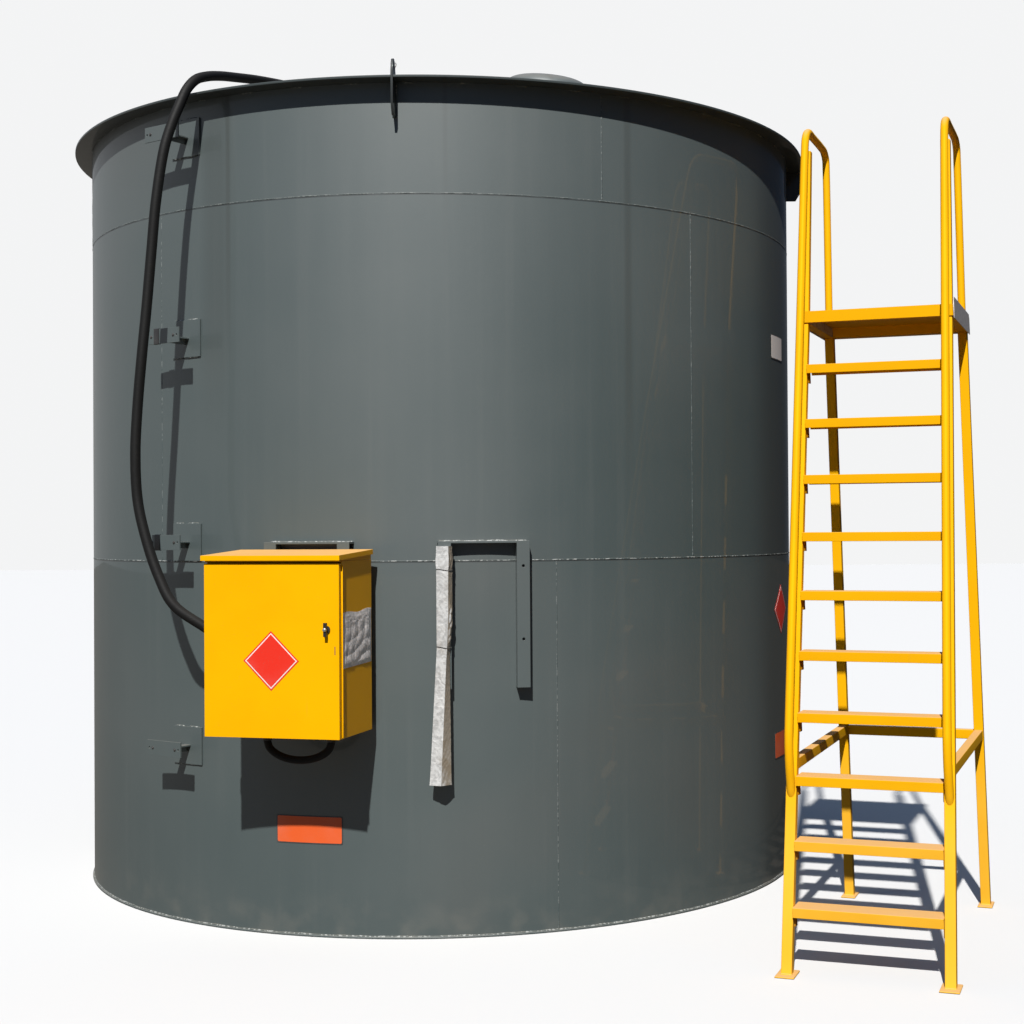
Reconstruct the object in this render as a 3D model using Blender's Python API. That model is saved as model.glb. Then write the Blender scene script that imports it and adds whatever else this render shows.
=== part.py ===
"""Vertical steel diesel tank with its hose cabinet and a free-standing stair.

Metres, +Z up. The origin is the tank's axis at floor level, and the cabinet
side of the tank looks along -Y. Angles round the tank are in degrees, zero
towards -Y and growing towards +X.
"""
import math

import bmesh
import bpy
from mathutils import Matrix, Vector

# Tank body
SHELL_R = 1.715
SHELL_T = 0.006
BOTTOM_R = 1.722
BOTTOM_T = 0.008
SEAM_LOW = 1.5008
SEAM_HIGH = 2.9706
RIM_TOP = 3.4231
RIM_T = 0.010
RIM_R = 1.7917
RIM_INNER_R = 1.640
ROOF_EDGE_R = 1.690
ROOF_SLOPE = 9.0
ROOF_T = 0.005
PLATE_ANGLE = 81.9
LOWER_SEAM_ANGLE = 19.8
MIDDLE_SEAM_ANGLE = -39.5
TOP_SEAM_ANGLE = 26.9
ARC_STEP = 3.75

# Fits between neighbouring solids, and between a curved piece and the shell's facets
GAP = 0.0003
CURVE_GAP = 0.0008

# Lifting lugs
LUG_ANGLE = -1.7
LUG_COUNT = 4
LUG_T = 0.010
LUG_OUTER_R = 1.796
LUG_BOTTOM = 3.270
LUG_TOP = 3.496
LUG_EYE_R = 0.012

# Roof hatch and hose nozzle
HATCH_ANGLE = 35.5
HATCH_AT_R = 0.90
HATCH_NECK_R = 0.172
HATCH_NECK_H = 0.085
HATCH_COVER_R = 0.195
HATCH_COVER_H = 0.078
NOZZLE_ANGLE = -34.0
NOZZLE_AT_R = 0.800
NOZZLE_H = 0.100
NOZZLE_REACH = 0.070

# Pipe brackets
BRACKET_ANGLE = -34.0
BRACKET_HEIGHTS = (3.266, 2.428, 1.580, 0.736)
PAD_W = 0.165
PAD_H = 0.155
PAD_T = 0.006
ARM_REACH = 0.130
CROSS_W = 0.200
CROSS_H = 0.062
CROSS_T = 0.006
CROSS_HOLE_X = 0.086
CROSS_HOLE_R = 0.0045

# Hanger frames on the shell
FRAME_W = 0.366
FRAME_STAND = 0.050
FRAME_TOP = 1.579
FRAME_BOTTOM = 0.994
FRAME_TOP_T = 0.008
LEG_W = 0.052
LEG_T = 0.005
LEG_HOLES_Z = (1.187, 1.479)
LEG_HOLE_R = 0.006
CABINET_ANGLE = -13.65
SPARE_ANGLE = 9.7
SHELL_CHORD = SHELL_R * math.cos(math.radians(5.2))
FRAME_FACE = SHELL_CHORD + FRAME_STAND

# Cabinet
CAB_W = 0.552
CAB_BOTTOM = 0.841
CAB_TOP = 1.510
CAB_WALL = 0.002
CAB_BACK = FRAME_FACE + GAP
CAB_FRONT = 2.062
DOOR_BACK = 2.067
DOOR_FRONT = 2.087
DOOR_BOTTOM = 0.841
DOOR_TOP = 1.501
HOOD_SIDE = 0.008
HOOD_FRONT = 2.102
HOOD_LIP_BOTTOM = 1.512
HOOD_LIP_TOP = 1.532
HOOD_BACK_TOP = 1.550
HOOD_T = 0.002
LOCK_T = 0.227
LOCK_Z = 1.253
HINGE_Z = (0.96, 1.38)
HINGE_R = 0.003
HINGE_H = 0.060
HINGE_OFFSET = 0.0038
HINGE_AXIS_OUT = 2.058
HINGE_LEAF_T = 0.003
HINGE_LEAF_W = 0.032

# Free hoses
HOSE_R = 0.0205
HOSE_ENTRY_Y = -1.900
HOSE_ENTRY_Z = 1.240
GLAND_LENGTH = 0.040
HOSE_ROUTE = [
    (-0.590, -0.850, 3.636), (-0.665, -0.965, 3.624), (-0.735, -1.090, 3.606), (-0.790, -1.225, 3.578),
    (-0.830, -1.375, 3.542), (-0.860, -1.485, 3.508), (-0.886, -1.552, 3.476), (-0.912, -1.596, 3.424),
    (-0.935, -1.625, 3.350), (-0.960, -1.647, 3.270), (-0.985, -1.667, 3.168),
    (-1.014, -1.685, 2.955), (-1.032, -1.690, 2.750),
    (-1.051, -1.697, 2.518), (-1.068, -1.704, 2.330), (-1.087, -1.703, 2.116), (-1.095, -1.706, 1.932),
    (-1.086, -1.707, 1.749), (-1.050, -1.722, 1.600), (-0.995, -1.742, 1.450), (-0.930, -1.762, 1.335),
]
LOOP_R = 0.015
LOOP_MID = 0.030
LOOP_SPAN = 0.270
LOOP_Y = -1.900
LOOP_DROP = 0.086
LOOP_LEG = 0.012

# Wrapped strip on the spare frame: heights, and how far its foot hangs to the left
STRIP_TOP = 1.560
STRIP_KINK = 1.150
STRIP_FOOT = 0.618
STRIP_LEAN = 0.030

# Stair: it stands racked to the left, its treads level
STAIR_AT = (1.683, -2.391)
STAIR_TURN = -19.4
STAIR_RACK = -0.034
STAIR_HALF = 0.292
BAR = 0.040
FOOT_T = 0.006
FRONT_FOOT_SIDE = 0.016
BACK_FOOT_SIDE = 0.011
FOOT_AHEAD = 0.035
STEP_COUNT = 10
STEP_RISE = 0.2284
STEP_DEPTH = 0.110
STEP_LIP = 0.036
STEP_NOSE = 0.0225
FRONT_SLOPE = 0.332
PLATFORM_TOP = FOOT_T + 11 * STEP_RISE
PLATFORM_LIP = 0.047
PLATFORM_BACK = 1.470
BACK_FOOT = 1.364
BACK_HEAD = 1.446
POST_TOP = 3.235
POST_SLOPE = 0.268
RAIL_R = 0.0165
RAIL_AHEAD = 0.046
RAIL_TOP = 3.330
RAIL_FOOT = 0.648
RAIL_BACK = 1.520
RAIL_POST = 1.430
BRACE_TOP = 0.748

COLOURS = {
    "tank_paint": ((0.085, 0.098, 0.092, 1.0), 0.38, 0.0),
    "cabinet_yellow": ((0.95, 0.50, 0.004, 1.0), 0.35, 0.0),
    "stair_yellow": ((0.90, 0.48, 0.005, 1.0), 0.42, 0.0),
    "hose_rubber": ((0.020, 0.018, 0.017, 1.0), 0.55, 0.0),
    "bare_steel": ((0.45, 0.45, 0.43, 1.0), 0.40, 0.9),
    "wrapped_strip": ((0.52, 0.52, 0.50, 1.0), 0.55, 0.0),
    "lock_black": ((0.02, 0.02, 0.02, 1.0), 0.35, 0.3),
}


def clear_scene():
    """Remove whatever the opened scene holds."""
    for item in list(bpy.data.objects):
        bpy.data.objects.remove(item, do_unlink=True)


def material(name):
    """Principled material by name, made on first use."""
    found = bpy.data.materials.get(name)
    if found:
        return found
    colour, roughness, metallic = COLOURS[name]
    made = bpy.data.materials.new(name)
    made.use_nodes = True
    shader = made.node_tree.nodes["Principled BSDF"]
    shader.inputs["Base Color"].default_value = colour
    shader.inputs["Roughness"].default_value = roughness
    shader.inputs["Metallic"].default_value = metallic
    made.diffuse_color = colour
    return made


def empty(name, location=(0.0, 0.0, 0.0), turn=0.0, parent=None):
    """Empty that places a group of pieces."""
    holder = bpy.data.objects.new(name, None)
    holder.location = location
    holder.rotation_euler = (0.0, 0.0, math.radians(turn))
    holder.parent = parent
    bpy.context.collection.objects.link(holder)
    return holder


def place(name, mesh, paint, location=(0.0, 0.0, 0.0), turn=0.0, parent=None):
    """Link a mesh as one named object, smooth with its sharp edges kept."""
    part = bpy.data.objects.new(name, mesh)
    part.location = location
    part.rotation_euler = (0.0, 0.0, math.radians(turn))
    part.parent = parent
    if not mesh.materials:
        mesh.materials.append(material(paint))
        mesh.shade_smooth()
        mesh.set_sharp_from_angle(angle=math.radians(30))
    bpy.context.collection.objects.link(part)
    return part


def mesh_from(verts, faces):
    """Closed mesh from points and faces, with its normals made consistent."""
    mesh = bpy.data.meshes.new("shape")
    mesh.from_pydata([tuple(v) for v in verts], [], faces)
    work = bmesh.new()
    work.from_mesh(mesh)
    bmesh.ops.recalc_face_normals(work, faces=work.faces)
    work.to_mesh(mesh)
    work.free()
    return mesh


def box(x0, x1, y0, y1, z0, z1):
    """Box between two corners."""
    verts = [(x, y, z) for z in (z0, z1) for y in (y0, y1) for x in (x0, x1)]
    faces = [(0, 2, 3, 1), (4, 5, 7, 6), (0, 1, 5, 4), (2, 6, 7, 3), (0, 4, 6, 2), (1, 3, 7, 5)]
    return mesh_from(verts, faces)


def prism(outline, low, high, along="X"):
    """Extrude a flat outline along X, Y or Z; the outline holds the other two."""
    def point(pair, at):
        if along == "X":
            return (at, pair[0], pair[1])
        if along == "Y":
            return (pair[0], at, pair[1])
        return (pair[0], pair[1], at)

    count = len(outline)
    verts = [point(pair, low) for pair in outline] + [point(pair, high) for pair in outline]
    sides = [(i, (i + 1) % count, (i + 1) % count + count, i + count) for i in range(count)]
    ends = [tuple(range(count))[::-1], tuple(range(count, 2 * count))]
    return mesh_from(verts, sides + ends)


def prism_with_hole(outline, centre, radius, low, high):
    """Extrude an outline of X-Z pairs along Y with one round hole in it."""
    count = len(outline)
    first = math.atan2(outline[0][1] - centre[1], outline[0][0] - centre[0])
    ring = []
    for i in range(count):
        angle = first + math.tau * i / count
        ring.append((centre[0] + radius * math.cos(angle), centre[1] + radius * math.sin(angle)))
    loops = [(p[0], y, p[1]) for y, line in
             ((low, outline), (high, outline), (low, ring), (high, ring)) for p in line]
    faces = []
    for i in range(count):
        j = (i + 1) % count
        faces.append((i, j, j + count, i + count))
        faces.append((i + 2 * count, j + 2 * count, j, i))
        faces.append((i + count, j + count, j + 3 * count, i + 3 * count))
        faces.append((i + 3 * count, j + 3 * count, j + 2 * count, i + 2 * count))
    return mesh_from(loops, faces)


def on_circle(radius, angle):
    """Point at a radius and an angle round the tank."""
    turn = math.radians(angle)
    return Vector((radius * math.sin(turn), -radius * math.cos(turn)))


def arc_plate(inner, outer, z0, z1, start, end):
    """Curved plate between two radii, two heights and two angles."""
    steps = max(2, round((end - start) / ARC_STEP))
    verts = []
    for i in range(steps + 1):
        angle = start + (end - start) * i / steps
        for radius, z in ((inner, z0), (outer, z0), (outer, z1), (inner, z1)):
            verts.append((*on_circle(radius, angle), z))
    faces = [(0, 1, 2, 3), tuple(4 * steps + k for k in (3, 2, 1, 0))]
    for i in range(steps):
        for k in range(4):
            nxt = (k + 1) % 4
            faces.append((4 * i + k, 4 * i + 4 + k, 4 * i + 4 + nxt, 4 * i + nxt))
    return mesh_from(verts, faces)


def turned(profile, steps, closed_ends=True):
    """Body of revolution from radius-height pairs, poles where radius is zero."""
    verts = []
    rings = []
    for radius, z in profile:
        if radius == 0.0:
            rings.append([len(verts)])
            verts.append((0.0, 0.0, z))
            continue
        rings.append(list(range(len(verts), len(verts) + steps)))
        for i in range(steps):
            angle = math.tau * i / steps
            verts.append((radius * math.cos(angle), radius * math.sin(angle), z))
    faces = []
    pairs = list(zip(rings, rings[1:]))
    if not closed_ends:
        pairs.append((rings[-1], rings[0]))
    for low, high in pairs:
        for i in range(steps):
            j = (i + 1) % steps
            corners = [low[i % len(low)], low[j % len(low)], high[j % len(high)], high[i % len(high)]]
            faces.append(tuple(dict.fromkeys(corners)))
    if closed_ends:
        for ring in (rings[0], rings[-1]):
            if len(ring) > 1:
                faces.append(tuple(ring))
    return mesh_from(verts, faces)


def combined(base, others, operation="UNION"):
    """Mesh of a base shape after exact Booleans with the other shapes."""
    body = bpy.data.objects.new("base", base)
    bpy.context.collection.objects.link(body)
    tools = []
    for shape in others:
        tool = bpy.data.objects.new("tool", shape)
        bpy.context.collection.objects.link(tool)
        step = body.modifiers.new("join", "BOOLEAN")
        step.operation = operation
        step.object = tool
        step.solver = "EXACT"
        tools.append(tool)
    bpy.context.view_layer.update()
    graph = bpy.context.evaluated_depsgraph_get()
    mesh = bpy.data.meshes.new_from_object(body.evaluated_get(graph))
    for item in tools + [body]:
        bpy.data.objects.remove(item, do_unlink=True)
    mesh.materials.clear()
    return mesh


def moved(mesh, matrix):
    """The same mesh after a change of place."""
    mesh.transform(matrix)
    return mesh


def tube(name, route, radius, paint, sides=3, spacing=2.0):
    """Round tube along a smooth curve, its first and last legs kept straight."""
    points = resample(smooth_route(route[1:-1]), spacing * 2 * radius)
    points = [Vector(route[0])] + points + [Vector(route[-1])]
    curve = tube_curve(name, points, radius, sides)
    part = bpy.data.objects.new(name, curve)
    curve.materials.append(material(paint))
    bpy.context.collection.objects.link(part)


def tube_curve(name, points, radius, sides):
    """Curve through the points with a round section and closed ends."""
    curve = bpy.data.curves.new(name, "CURVE")
    curve.dimensions = "3D"
    curve.bevel_depth = radius
    curve.bevel_resolution = sides
    curve.use_fill_caps = True
    spline = curve.splines.new("POLY")
    spline.points.add(len(points) - 1)
    for target, point in zip(spline.points, points):
        target.co = (*point, 1.0)
    return curve


def smooth_route(route, steps=16):
    """Centripetal Catmull-Rom curve through the route's points."""
    pts = [Vector(p) for p in route]
    pts = [2 * pts[0] - pts[1]] + pts + [2 * pts[-1] - pts[-2]]
    line = []
    for a, b, c, d in zip(pts, pts[1:], pts[2:], pts[3:]):
        t1 = math.sqrt((b - a).length)
        t2 = t1 + math.sqrt((c - b).length)
        t3 = t2 + math.sqrt((d - c).length)
        for i in range(steps):
            t = t1 + (t2 - t1) * i / steps
            ab = a * ((t1 - t) / t1) + b * (t / t1)
            bc = b * ((t2 - t) / (t2 - t1)) + c * ((t - t1) / (t2 - t1))
            cd = c * ((t3 - t) / (t3 - t2)) + d * ((t - t2) / (t3 - t2))
            abc = ab * ((t2 - t) / t2) + bc * (t / t2)
            bcd = bc * ((t3 - t) / (t3 - t1)) + cd * ((t - t1) / (t3 - t1))
            line.append(abc * ((t2 - t) / (t2 - t1)) + bcd * ((t - t1) / (t2 - t1)))
    line.append(pts[-2])
    return line


def resample(line, spacing):
    """Points at even spacing along a fine line, its two ends kept."""
    lengths = [0.0]
    for a, b in zip(line, line[1:]):
        lengths.append(lengths[-1] + (b - a).length)
    count = max(2, round(lengths[-1] / spacing))
    points = []
    k = 0
    for i in range(count + 1):
        want = lengths[-1] * i / count
        while k < len(line) - 2 and lengths[k + 1] < want:
            k += 1
        part = (want - lengths[k]) / (lengths[k + 1] - lengths[k])
        points.append(line[k].lerp(line[k + 1], min(1.0, part)))
    return points


def build_shell():
    """Bottom plate and the three courses of rolled plates."""
    bottom = turned([(BOTTOM_R, 0.0), (BOTTOM_R, BOTTOM_T)], 96)
    place("bottom_plate", bottom, "tank_paint")
    courses = (
        ("lower", BOTTOM_T + GAP, SEAM_LOW, LOWER_SEAM_ANGLE),
        ("middle", SEAM_LOW + GAP, SEAM_HIGH, MIDDLE_SEAM_ANGLE),
        ("top", SEAM_HIGH + GAP, RIM_TOP - RIM_T - GAP, TOP_SEAM_ANGLE),
    )
    half_gap = math.degrees(GAP / SHELL_R) / 2
    for course, z0, z1, first in courses:
        seams = [first, first + PLATE_ANGLE, first + 2 * PLATE_ANGLE]
        seams += [first + 180.0 + PLATE_ANGLE, first + 360.0]
        for number, (start, end) in enumerate(zip(seams, seams[1:]), 1):
            plate = arc_plate(SHELL_R - SHELL_T, SHELL_R, z0, z1, start + half_gap, end - half_gap)
            place(f"shell_{course}_{number}", plate, "tank_paint")


def build_rim_and_roof():
    """Flat rim ring, notched for the lugs, and the shallow cone roof."""
    ring = turned([(RIM_INNER_R, RIM_TOP), (RIM_R, RIM_TOP), (RIM_R, RIM_TOP - RIM_T),
                   (RIM_INNER_R, RIM_TOP - RIM_T)], 96, closed_ends=False)
    notches = []
    for i in range(LUG_COUNT):
        half = LUG_T / 2 + GAP
        notch = box(-half, half, -RIM_R - 0.02, -SHELL_R, RIM_TOP - 2 * RIM_T, RIM_TOP + RIM_T)
        turn = math.radians(LUG_ANGLE + 360.0 / LUG_COUNT * i)
        notches.append(moved(notch, Matrix.Rotation(turn, 4, "Z")))
    place("top_rim", combined(ring, notches, "DIFFERENCE"), "tank_paint")
    base = RIM_TOP + GAP
    rise = ROOF_EDGE_R * math.tan(math.radians(ROOF_SLOPE))
    thick = ROOF_T / math.cos(math.radians(ROOF_SLOPE))
    under = ROOF_EDGE_R - ROOF_T / math.sin(math.radians(ROOF_SLOPE))
    cone = turned([(ROOF_EDGE_R, base), (0.0, base + rise), (0.0, base + rise - thick),
                   (under, base)], 64, closed_ends=False)
    place("roof_cone", cone, "tank_paint")


def roof_height(radius):
    """Height of the roof's upper face at a distance from the axis."""
    return RIM_TOP + GAP + (ROOF_EDGE_R - radius) * math.tan(math.radians(ROOF_SLOPE))


def on_roof(radius, angle):
    """Place on the roof, with Z square to the slope there."""
    spot = on_circle(radius, angle)
    turn = Matrix.Rotation(math.radians(angle), 4, "Z")
    lean = Matrix.Rotation(math.radians(ROOF_SLOPE), 4, "X")
    return Matrix.Translation((spot.x, spot.y, roof_height(radius))) @ turn @ lean


def seated_on_roof(mesh, spot, foot):
    """Mesh moved to its spot, its points below the foot height cut to the cone."""
    up = spot.to_3x3() @ Vector((0.0, 0.0, 1.0))
    lowest = [v.index for v in mesh.vertices if v.co.z < foot]
    mesh.transform(spot)
    for index in lowest:
        point = mesh.vertices[index].co
        for _ in range(4):
            want = roof_height(math.hypot(point.x, point.y)) + GAP
            point += up * ((want - point.z) / up.z)
    return mesh


def build_hatch():
    """Manway neck and its domed cover, square to the roof."""
    spot = on_roof(HATCH_AT_R, HATCH_ANGLE)
    neck = turned([(HATCH_NECK_R, 0.0), (HATCH_NECK_R, HATCH_NECK_H),
                   (HATCH_NECK_R - 0.006, HATCH_NECK_H), (HATCH_NECK_R - 0.006, 0.0)],
                  32, closed_ends=False)
    place("roof_hatch_neck", seated_on_roof(neck, spot, HATCH_NECK_H / 2), "tank_paint")
    top = HATCH_NECK_H + GAP
    edge = 0.012
    profile = [(0.0, top), (HATCH_COVER_R, top), (HATCH_COVER_R, top + edge)]
    for i in range(1, 7):
        angle = math.pi / 2 * i / 6
        radius = HATCH_COVER_R * math.cos(angle) ** 0.6 if i < 6 else 0.0
        profile.append((radius, top + edge + (HATCH_COVER_H - edge) * math.sin(angle) ** 0.8))
    place("roof_hatch_cover", moved(turned(profile, 32), spot), "tank_paint")


def build_lugs():
    """Four radial lifting lugs welded to the shell below the rim."""
    inner = SHELL_R + GAP
    outer = LUG_OUTER_R
    chamfer = 0.026
    shoulder = LUG_TOP - 0.060
    outline = [(inner, LUG_BOTTOM), (inner + 0.02, LUG_BOTTOM), (outer - chamfer, LUG_BOTTOM),
               (outer, LUG_BOTTOM + 0.044), (outer, RIM_TOP), (outer, shoulder),
               (outer - 0.008, LUG_TOP - 0.025), (outer - 0.022, LUG_TOP - 0.005),
               (outer - 0.036, LUG_TOP), (outer - 0.050, LUG_TOP - 0.006),
               (outer - 0.064, LUG_TOP - 0.028), (inner, shoulder), (inner, RIM_TOP),
               (inner, LUG_BOTTOM + 0.06)]
    centre = (outer - 0.038, LUG_TOP - 0.034)
    lug = prism_with_hole([(r, z) for r, z in outline], centre, LUG_EYE_R, -LUG_T / 2, LUG_T / 2)
    for i in range(LUG_COUNT):
        turn = LUG_ANGLE + 360.0 / LUG_COUNT * i - 90.0
        place(f"lifting_lug_{i + 1}", lug, "tank_paint", turn=turn)


def build_brackets():
    """Pipe brackets: a pad on the shell, an arm out and a cross plate with two holes."""
    pad_back = SHELL_R + CURVE_GAP
    face = SHELL_R + ARM_REACH
    half = math.degrees(PAD_W / 2 / SHELL_R)
    pad = arc_plate(pad_back, pad_back + PAD_T, -PAD_H / 2, PAD_H / 2, -half, half)
    arm = box(-0.020, 0.020, -face, -pad_back - PAD_T / 2, -0.003, 0.003)
    web = box(-0.003, 0.003, -face, -pad_back - PAD_T / 2, -0.025, 0.0)
    cross = box(-CROSS_W / 2, CROSS_W / 2, -face - CROSS_T / 2, -face + CROSS_T / 2,
                -CROSS_H / 2, CROSS_H / 2)
    drills = [drill(side * CROSS_HOLE_X, -face, 0.0, CROSS_HOLE_R, CROSS_T) for side in (-1, 1)]
    bracket = combined(combined(pad, [arm, web, cross]), drills, "DIFFERENCE")
    for number, height in enumerate(BRACKET_HEIGHTS, 1):
        place(f"hose_bracket_{number}", bracket, "tank_paint",
              location=(0.0, 0.0, height), turn=BRACKET_ANGLE)


def drill(x, y, z, radius, reach):
    """Round cutter along Y, centred on a point and reaching to both sides of it."""
    cutter = turned([(radius, -reach), (radius, reach)], 12)
    turn = Matrix.Rotation(math.radians(90), 4, "X")
    return moved(cutter, Matrix.Translation((x, y, z)) @ turn)


def shell_gap_profile(y_out, x0, x1, steps=8):
    """Plan outline from a straight front edge back to the shell's curve."""
    reach = SHELL_R + CURVE_GAP
    back = []
    for i in range(steps + 1):
        x = x1 + (x0 - x1) * i / steps
        back.append((x, -math.sqrt(reach * reach - x * x)))
    return [(x0, y_out), (x1, y_out)] + back


def build_frame(name, angle):
    """Inverted U of flat top and two angle legs, welded to the shell."""
    half = FRAME_W / 2
    face = -FRAME_FACE
    top = prism(shell_gap_profile(face, -half, half), FRAME_TOP - FRAME_TOP_T, FRAME_TOP, "Z")
    shapes = []
    for side in (-1, 1):
        outer = side * half
        inner = side * (half - LEG_W)
        low, high = sorted((outer, inner))
        front = box(low, high, face, face + LEG_T, FRAME_BOTTOM, FRAME_TOP - LEG_T)
        low, high = sorted((inner, inner + side * LEG_T))
        web = prism(shell_gap_profile(face + LEG_T / 2, low, high, 1), FRAME_BOTTOM,
                    FRAME_TOP - LEG_T, "Z")
        shapes += [front, web]
    drills = [drill(side * (half - LEG_W / 2), face, z, LEG_HOLE_R, 2 * LEG_T)
              for side in (-1, 1) for z in LEG_HOLES_Z]
    frame = combined(combined(top, shapes), drills, "DIFFERENCE")
    place(name, frame, "tank_paint", turn=angle)


def build_cabinet():
    """Hollow wall cabinet with its hood, door, hinges and lock."""
    holder = empty("cabinet_place", turn=CABINET_ANGLE)
    half = CAB_W / 2
    outside = box(-half, half, -CAB_FRONT, -CAB_BACK, CAB_BOTTOM, CAB_TOP)
    inside = box(-half + CAB_WALL, half - CAB_WALL, -CAB_FRONT - 0.01, -CAB_BACK - CAB_WALL,
                 CAB_BOTTOM + CAB_WALL, CAB_TOP - CAB_WALL)
    body = combined(outside, [inside], "DIFFERENCE")
    place("cabinet_body", body, "cabinet_yellow", parent=holder)
    build_hood(holder)
    axis_x = -half - HINGE_OFFSET
    axis_y = -HINGE_AXIS_OUT
    pivot = empty("cabinet_door_axis", (axis_x, axis_y, 0.0), parent=holder)
    build_door(pivot, axis_x, axis_y)
    leaf_back = -half - GAP
    leaf_front = axis_y + HINGE_R + 0.001
    leaf = box(leaf_back - HINGE_LEAF_T, leaf_back, leaf_front, leaf_front + HINGE_LEAF_W, 0.0, HINGE_H)
    link = box(axis_x, leaf_back, axis_y, leaf_front + HINGE_LEAF_T, 0.0, HINGE_H / 2 - GAP)
    barrel = turned([(HINGE_R, 0.0), (HINGE_R, HINGE_H / 2 - GAP)], 16)
    barrel = moved(barrel, Matrix.Translation((axis_x, axis_y, 0.0)))
    hinge = combined(leaf, [link, barrel])
    for label, height in zip(("lower", "upper"), HINGE_Z):
        place(f"door_hinge_{label}", hinge, "cabinet_yellow",
              location=(0.0, 0.0, height), parent=holder)


def build_hood(holder):
    """Rain hood: a top sheet sloping forwards with a lip on three sides."""
    half = CAB_W / 2 + HOOD_SIDE
    back = -CAB_BACK
    lip = HOOD_LIP_TOP - HOOD_LIP_BOTTOM
    side = [(-HOOD_FRONT, HOOD_LIP_BOTTOM), (-HOOD_FRONT, HOOD_LIP_TOP),
            (back, HOOD_BACK_TOP), (back, HOOD_BACK_TOP - lip)]
    outside = prism(side, -half, half, "X")
    inner = [(-HOOD_FRONT + HOOD_T, HOOD_LIP_BOTTOM - 0.01), (-HOOD_FRONT + HOOD_T, HOOD_LIP_TOP - HOOD_T),
             (back + 0.01, HOOD_BACK_TOP - HOOD_T), (back + 0.01, HOOD_LIP_BOTTOM - 0.01)]
    inside = prism(inner, -half + HOOD_T, half - HOOD_T, "X")
    place("cabinet_hood", combined(outside, [inside], "DIFFERENCE"), "cabinet_yellow", parent=holder)


def build_door(pivot, axis_x, axis_y):
    """Folded sheet door with returned edges, two knuckles and a lock."""
    left = -CAB_W / 2 - axis_x
    right = CAB_W / 2 - axis_x
    front = -DOOR_FRONT - axis_y
    back = -DOOR_BACK - axis_y
    slab = box(left, right, front, back, DOOR_BOTTOM, DOOR_TOP)
    hollow = box(left + 0.002, right - 0.002, front + 0.002, back + 0.01,
                 DOOR_BOTTOM + 0.002, DOOR_TOP - 0.002)
    slab = combined(slab, [hollow], "DIFFERENCE")
    strap = HINGE_R / 2
    shapes = []
    for height in HINGE_Z:
        low = height + HINGE_H / 2
        high = height + HINGE_H
        barrel = turned([(HINGE_R, low), (HINGE_R, high)], 16)
        across = box(-strap, left + 0.0015, back - 0.0005, back + 0.0035, low, high)
        neck = box(-strap, strap, back - 0.0005, 0.0, low, high)
        shapes += [barrel, across, neck]
    place("cabinet_door", combined(slab, shapes), "cabinet_yellow", parent=pivot)
    collar = turned([(0.0, 0.0), (0.014, 0.0), (0.014, 0.006), (0.008, 0.007),
                     (0.008, 0.012), (0.0, 0.012)], 20)
    wing = box(-0.006, 0.006, -0.026, 0.026, 0.0105, 0.022)
    lock = combined(collar, [wing])
    lock = moved(lock, Matrix.Rotation(math.radians(90), 4, "X"))
    place("door_lock", lock, "lock_black",
          location=(LOCK_T - axis_x, front - GAP, LOCK_Z), parent=pivot)


def build_nozzle():
    """Riser with a spigot for the hose, square to the roof's slope."""
    riser = turned([(0.060, GAP), (0.060, 0.010), (0.030, 0.012), (0.030, NOZZLE_H + 0.030),
                    (0.0, NOZZLE_H + 0.036)], 24)
    spigot = turned([(0.026, 0.0), (0.026, NOZZLE_REACH)], 20)
    spigot.transform(Matrix.Translation((0.0, 0.0, NOZZLE_H)) @ Matrix.Rotation(math.radians(90), 4, "X"))
    nozzle = combined(riser, [spigot])
    place("roof_nozzle", moved(nozzle, on_roof(NOZZLE_AT_R, NOZZLE_ANGLE)), "tank_paint")


def build_hoses():
    """Fuel hose from the roof nozzle to the cabinet and the loop below it."""
    nozzle = on_roof(NOZZLE_AT_R, NOZZLE_ANGLE)
    start = [nozzle @ Vector((0.0, -NOZZLE_REACH - reach, NOZZLE_H)) for reach in (GAP, 0.06)]
    cabinet = Matrix.Rotation(math.radians(CABINET_ANGLE), 4, "Z")
    side = -CAB_W / 2 - GLAND_LENGTH
    end = [cabinet @ Vector((side - reach, HOSE_ENTRY_Y, HOSE_ENTRY_Z)) for reach in (0.045, GAP)]
    tube("fuel_hose", start + HOSE_ROUTE + end, HOSE_R, "hose_rubber")
    gland = turned([(0.034, 0.0), (0.034, 0.012), (0.026, 0.016), (0.026, GLAND_LENGTH - GAP)], 24)
    turn = Matrix.Rotation(math.radians(-90), 4, "Y")
    spot = cabinet @ Matrix.Translation((-CAB_W / 2 - GAP, HOSE_ENTRY_Y, HOSE_ENTRY_Z))
    place("hose_gland", moved(gland, spot @ turn), "bare_steel")
    plate_z = CAB_BOTTOM - GAP
    ends = [LOOP_MID + side * LOOP_SPAN / 2 for side in (-1, 1)]
    plate = box(ends[0] - 0.035, ends[1] + 0.035, LOOP_Y - 0.030, LOOP_Y + 0.030,
                plate_z - 0.004, plate_z)
    bosses = []
    for end in ends:
        boss = turned([(0.020, plate_z - 0.022), (0.020, plate_z - 0.002)], 20)
        bosses.append(moved(boss, Matrix.Translation((end, LOOP_Y, 0.0))))
    place("loop_plate", moved(combined(plate, bosses), cabinet), "bare_steel")
    top = plate_z - 0.022 - GAP
    route = [cabinet @ Vector((ends[0], LOOP_Y, top))]
    for i in range(9):
        turn = math.pi * i / 8
        drop = LOOP_LEG + (LOOP_DROP - LOOP_LEG) * math.sin(turn)
        across = LOOP_MID - LOOP_SPAN / 2 * math.cos(turn)
        route.append(cabinet @ Vector((across, LOOP_Y, top - drop)))
    route.append(cabinet @ Vector((ends[1], LOOP_Y, top)))
    tube("loop_hose", route, LOOP_R, "hose_rubber")


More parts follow.
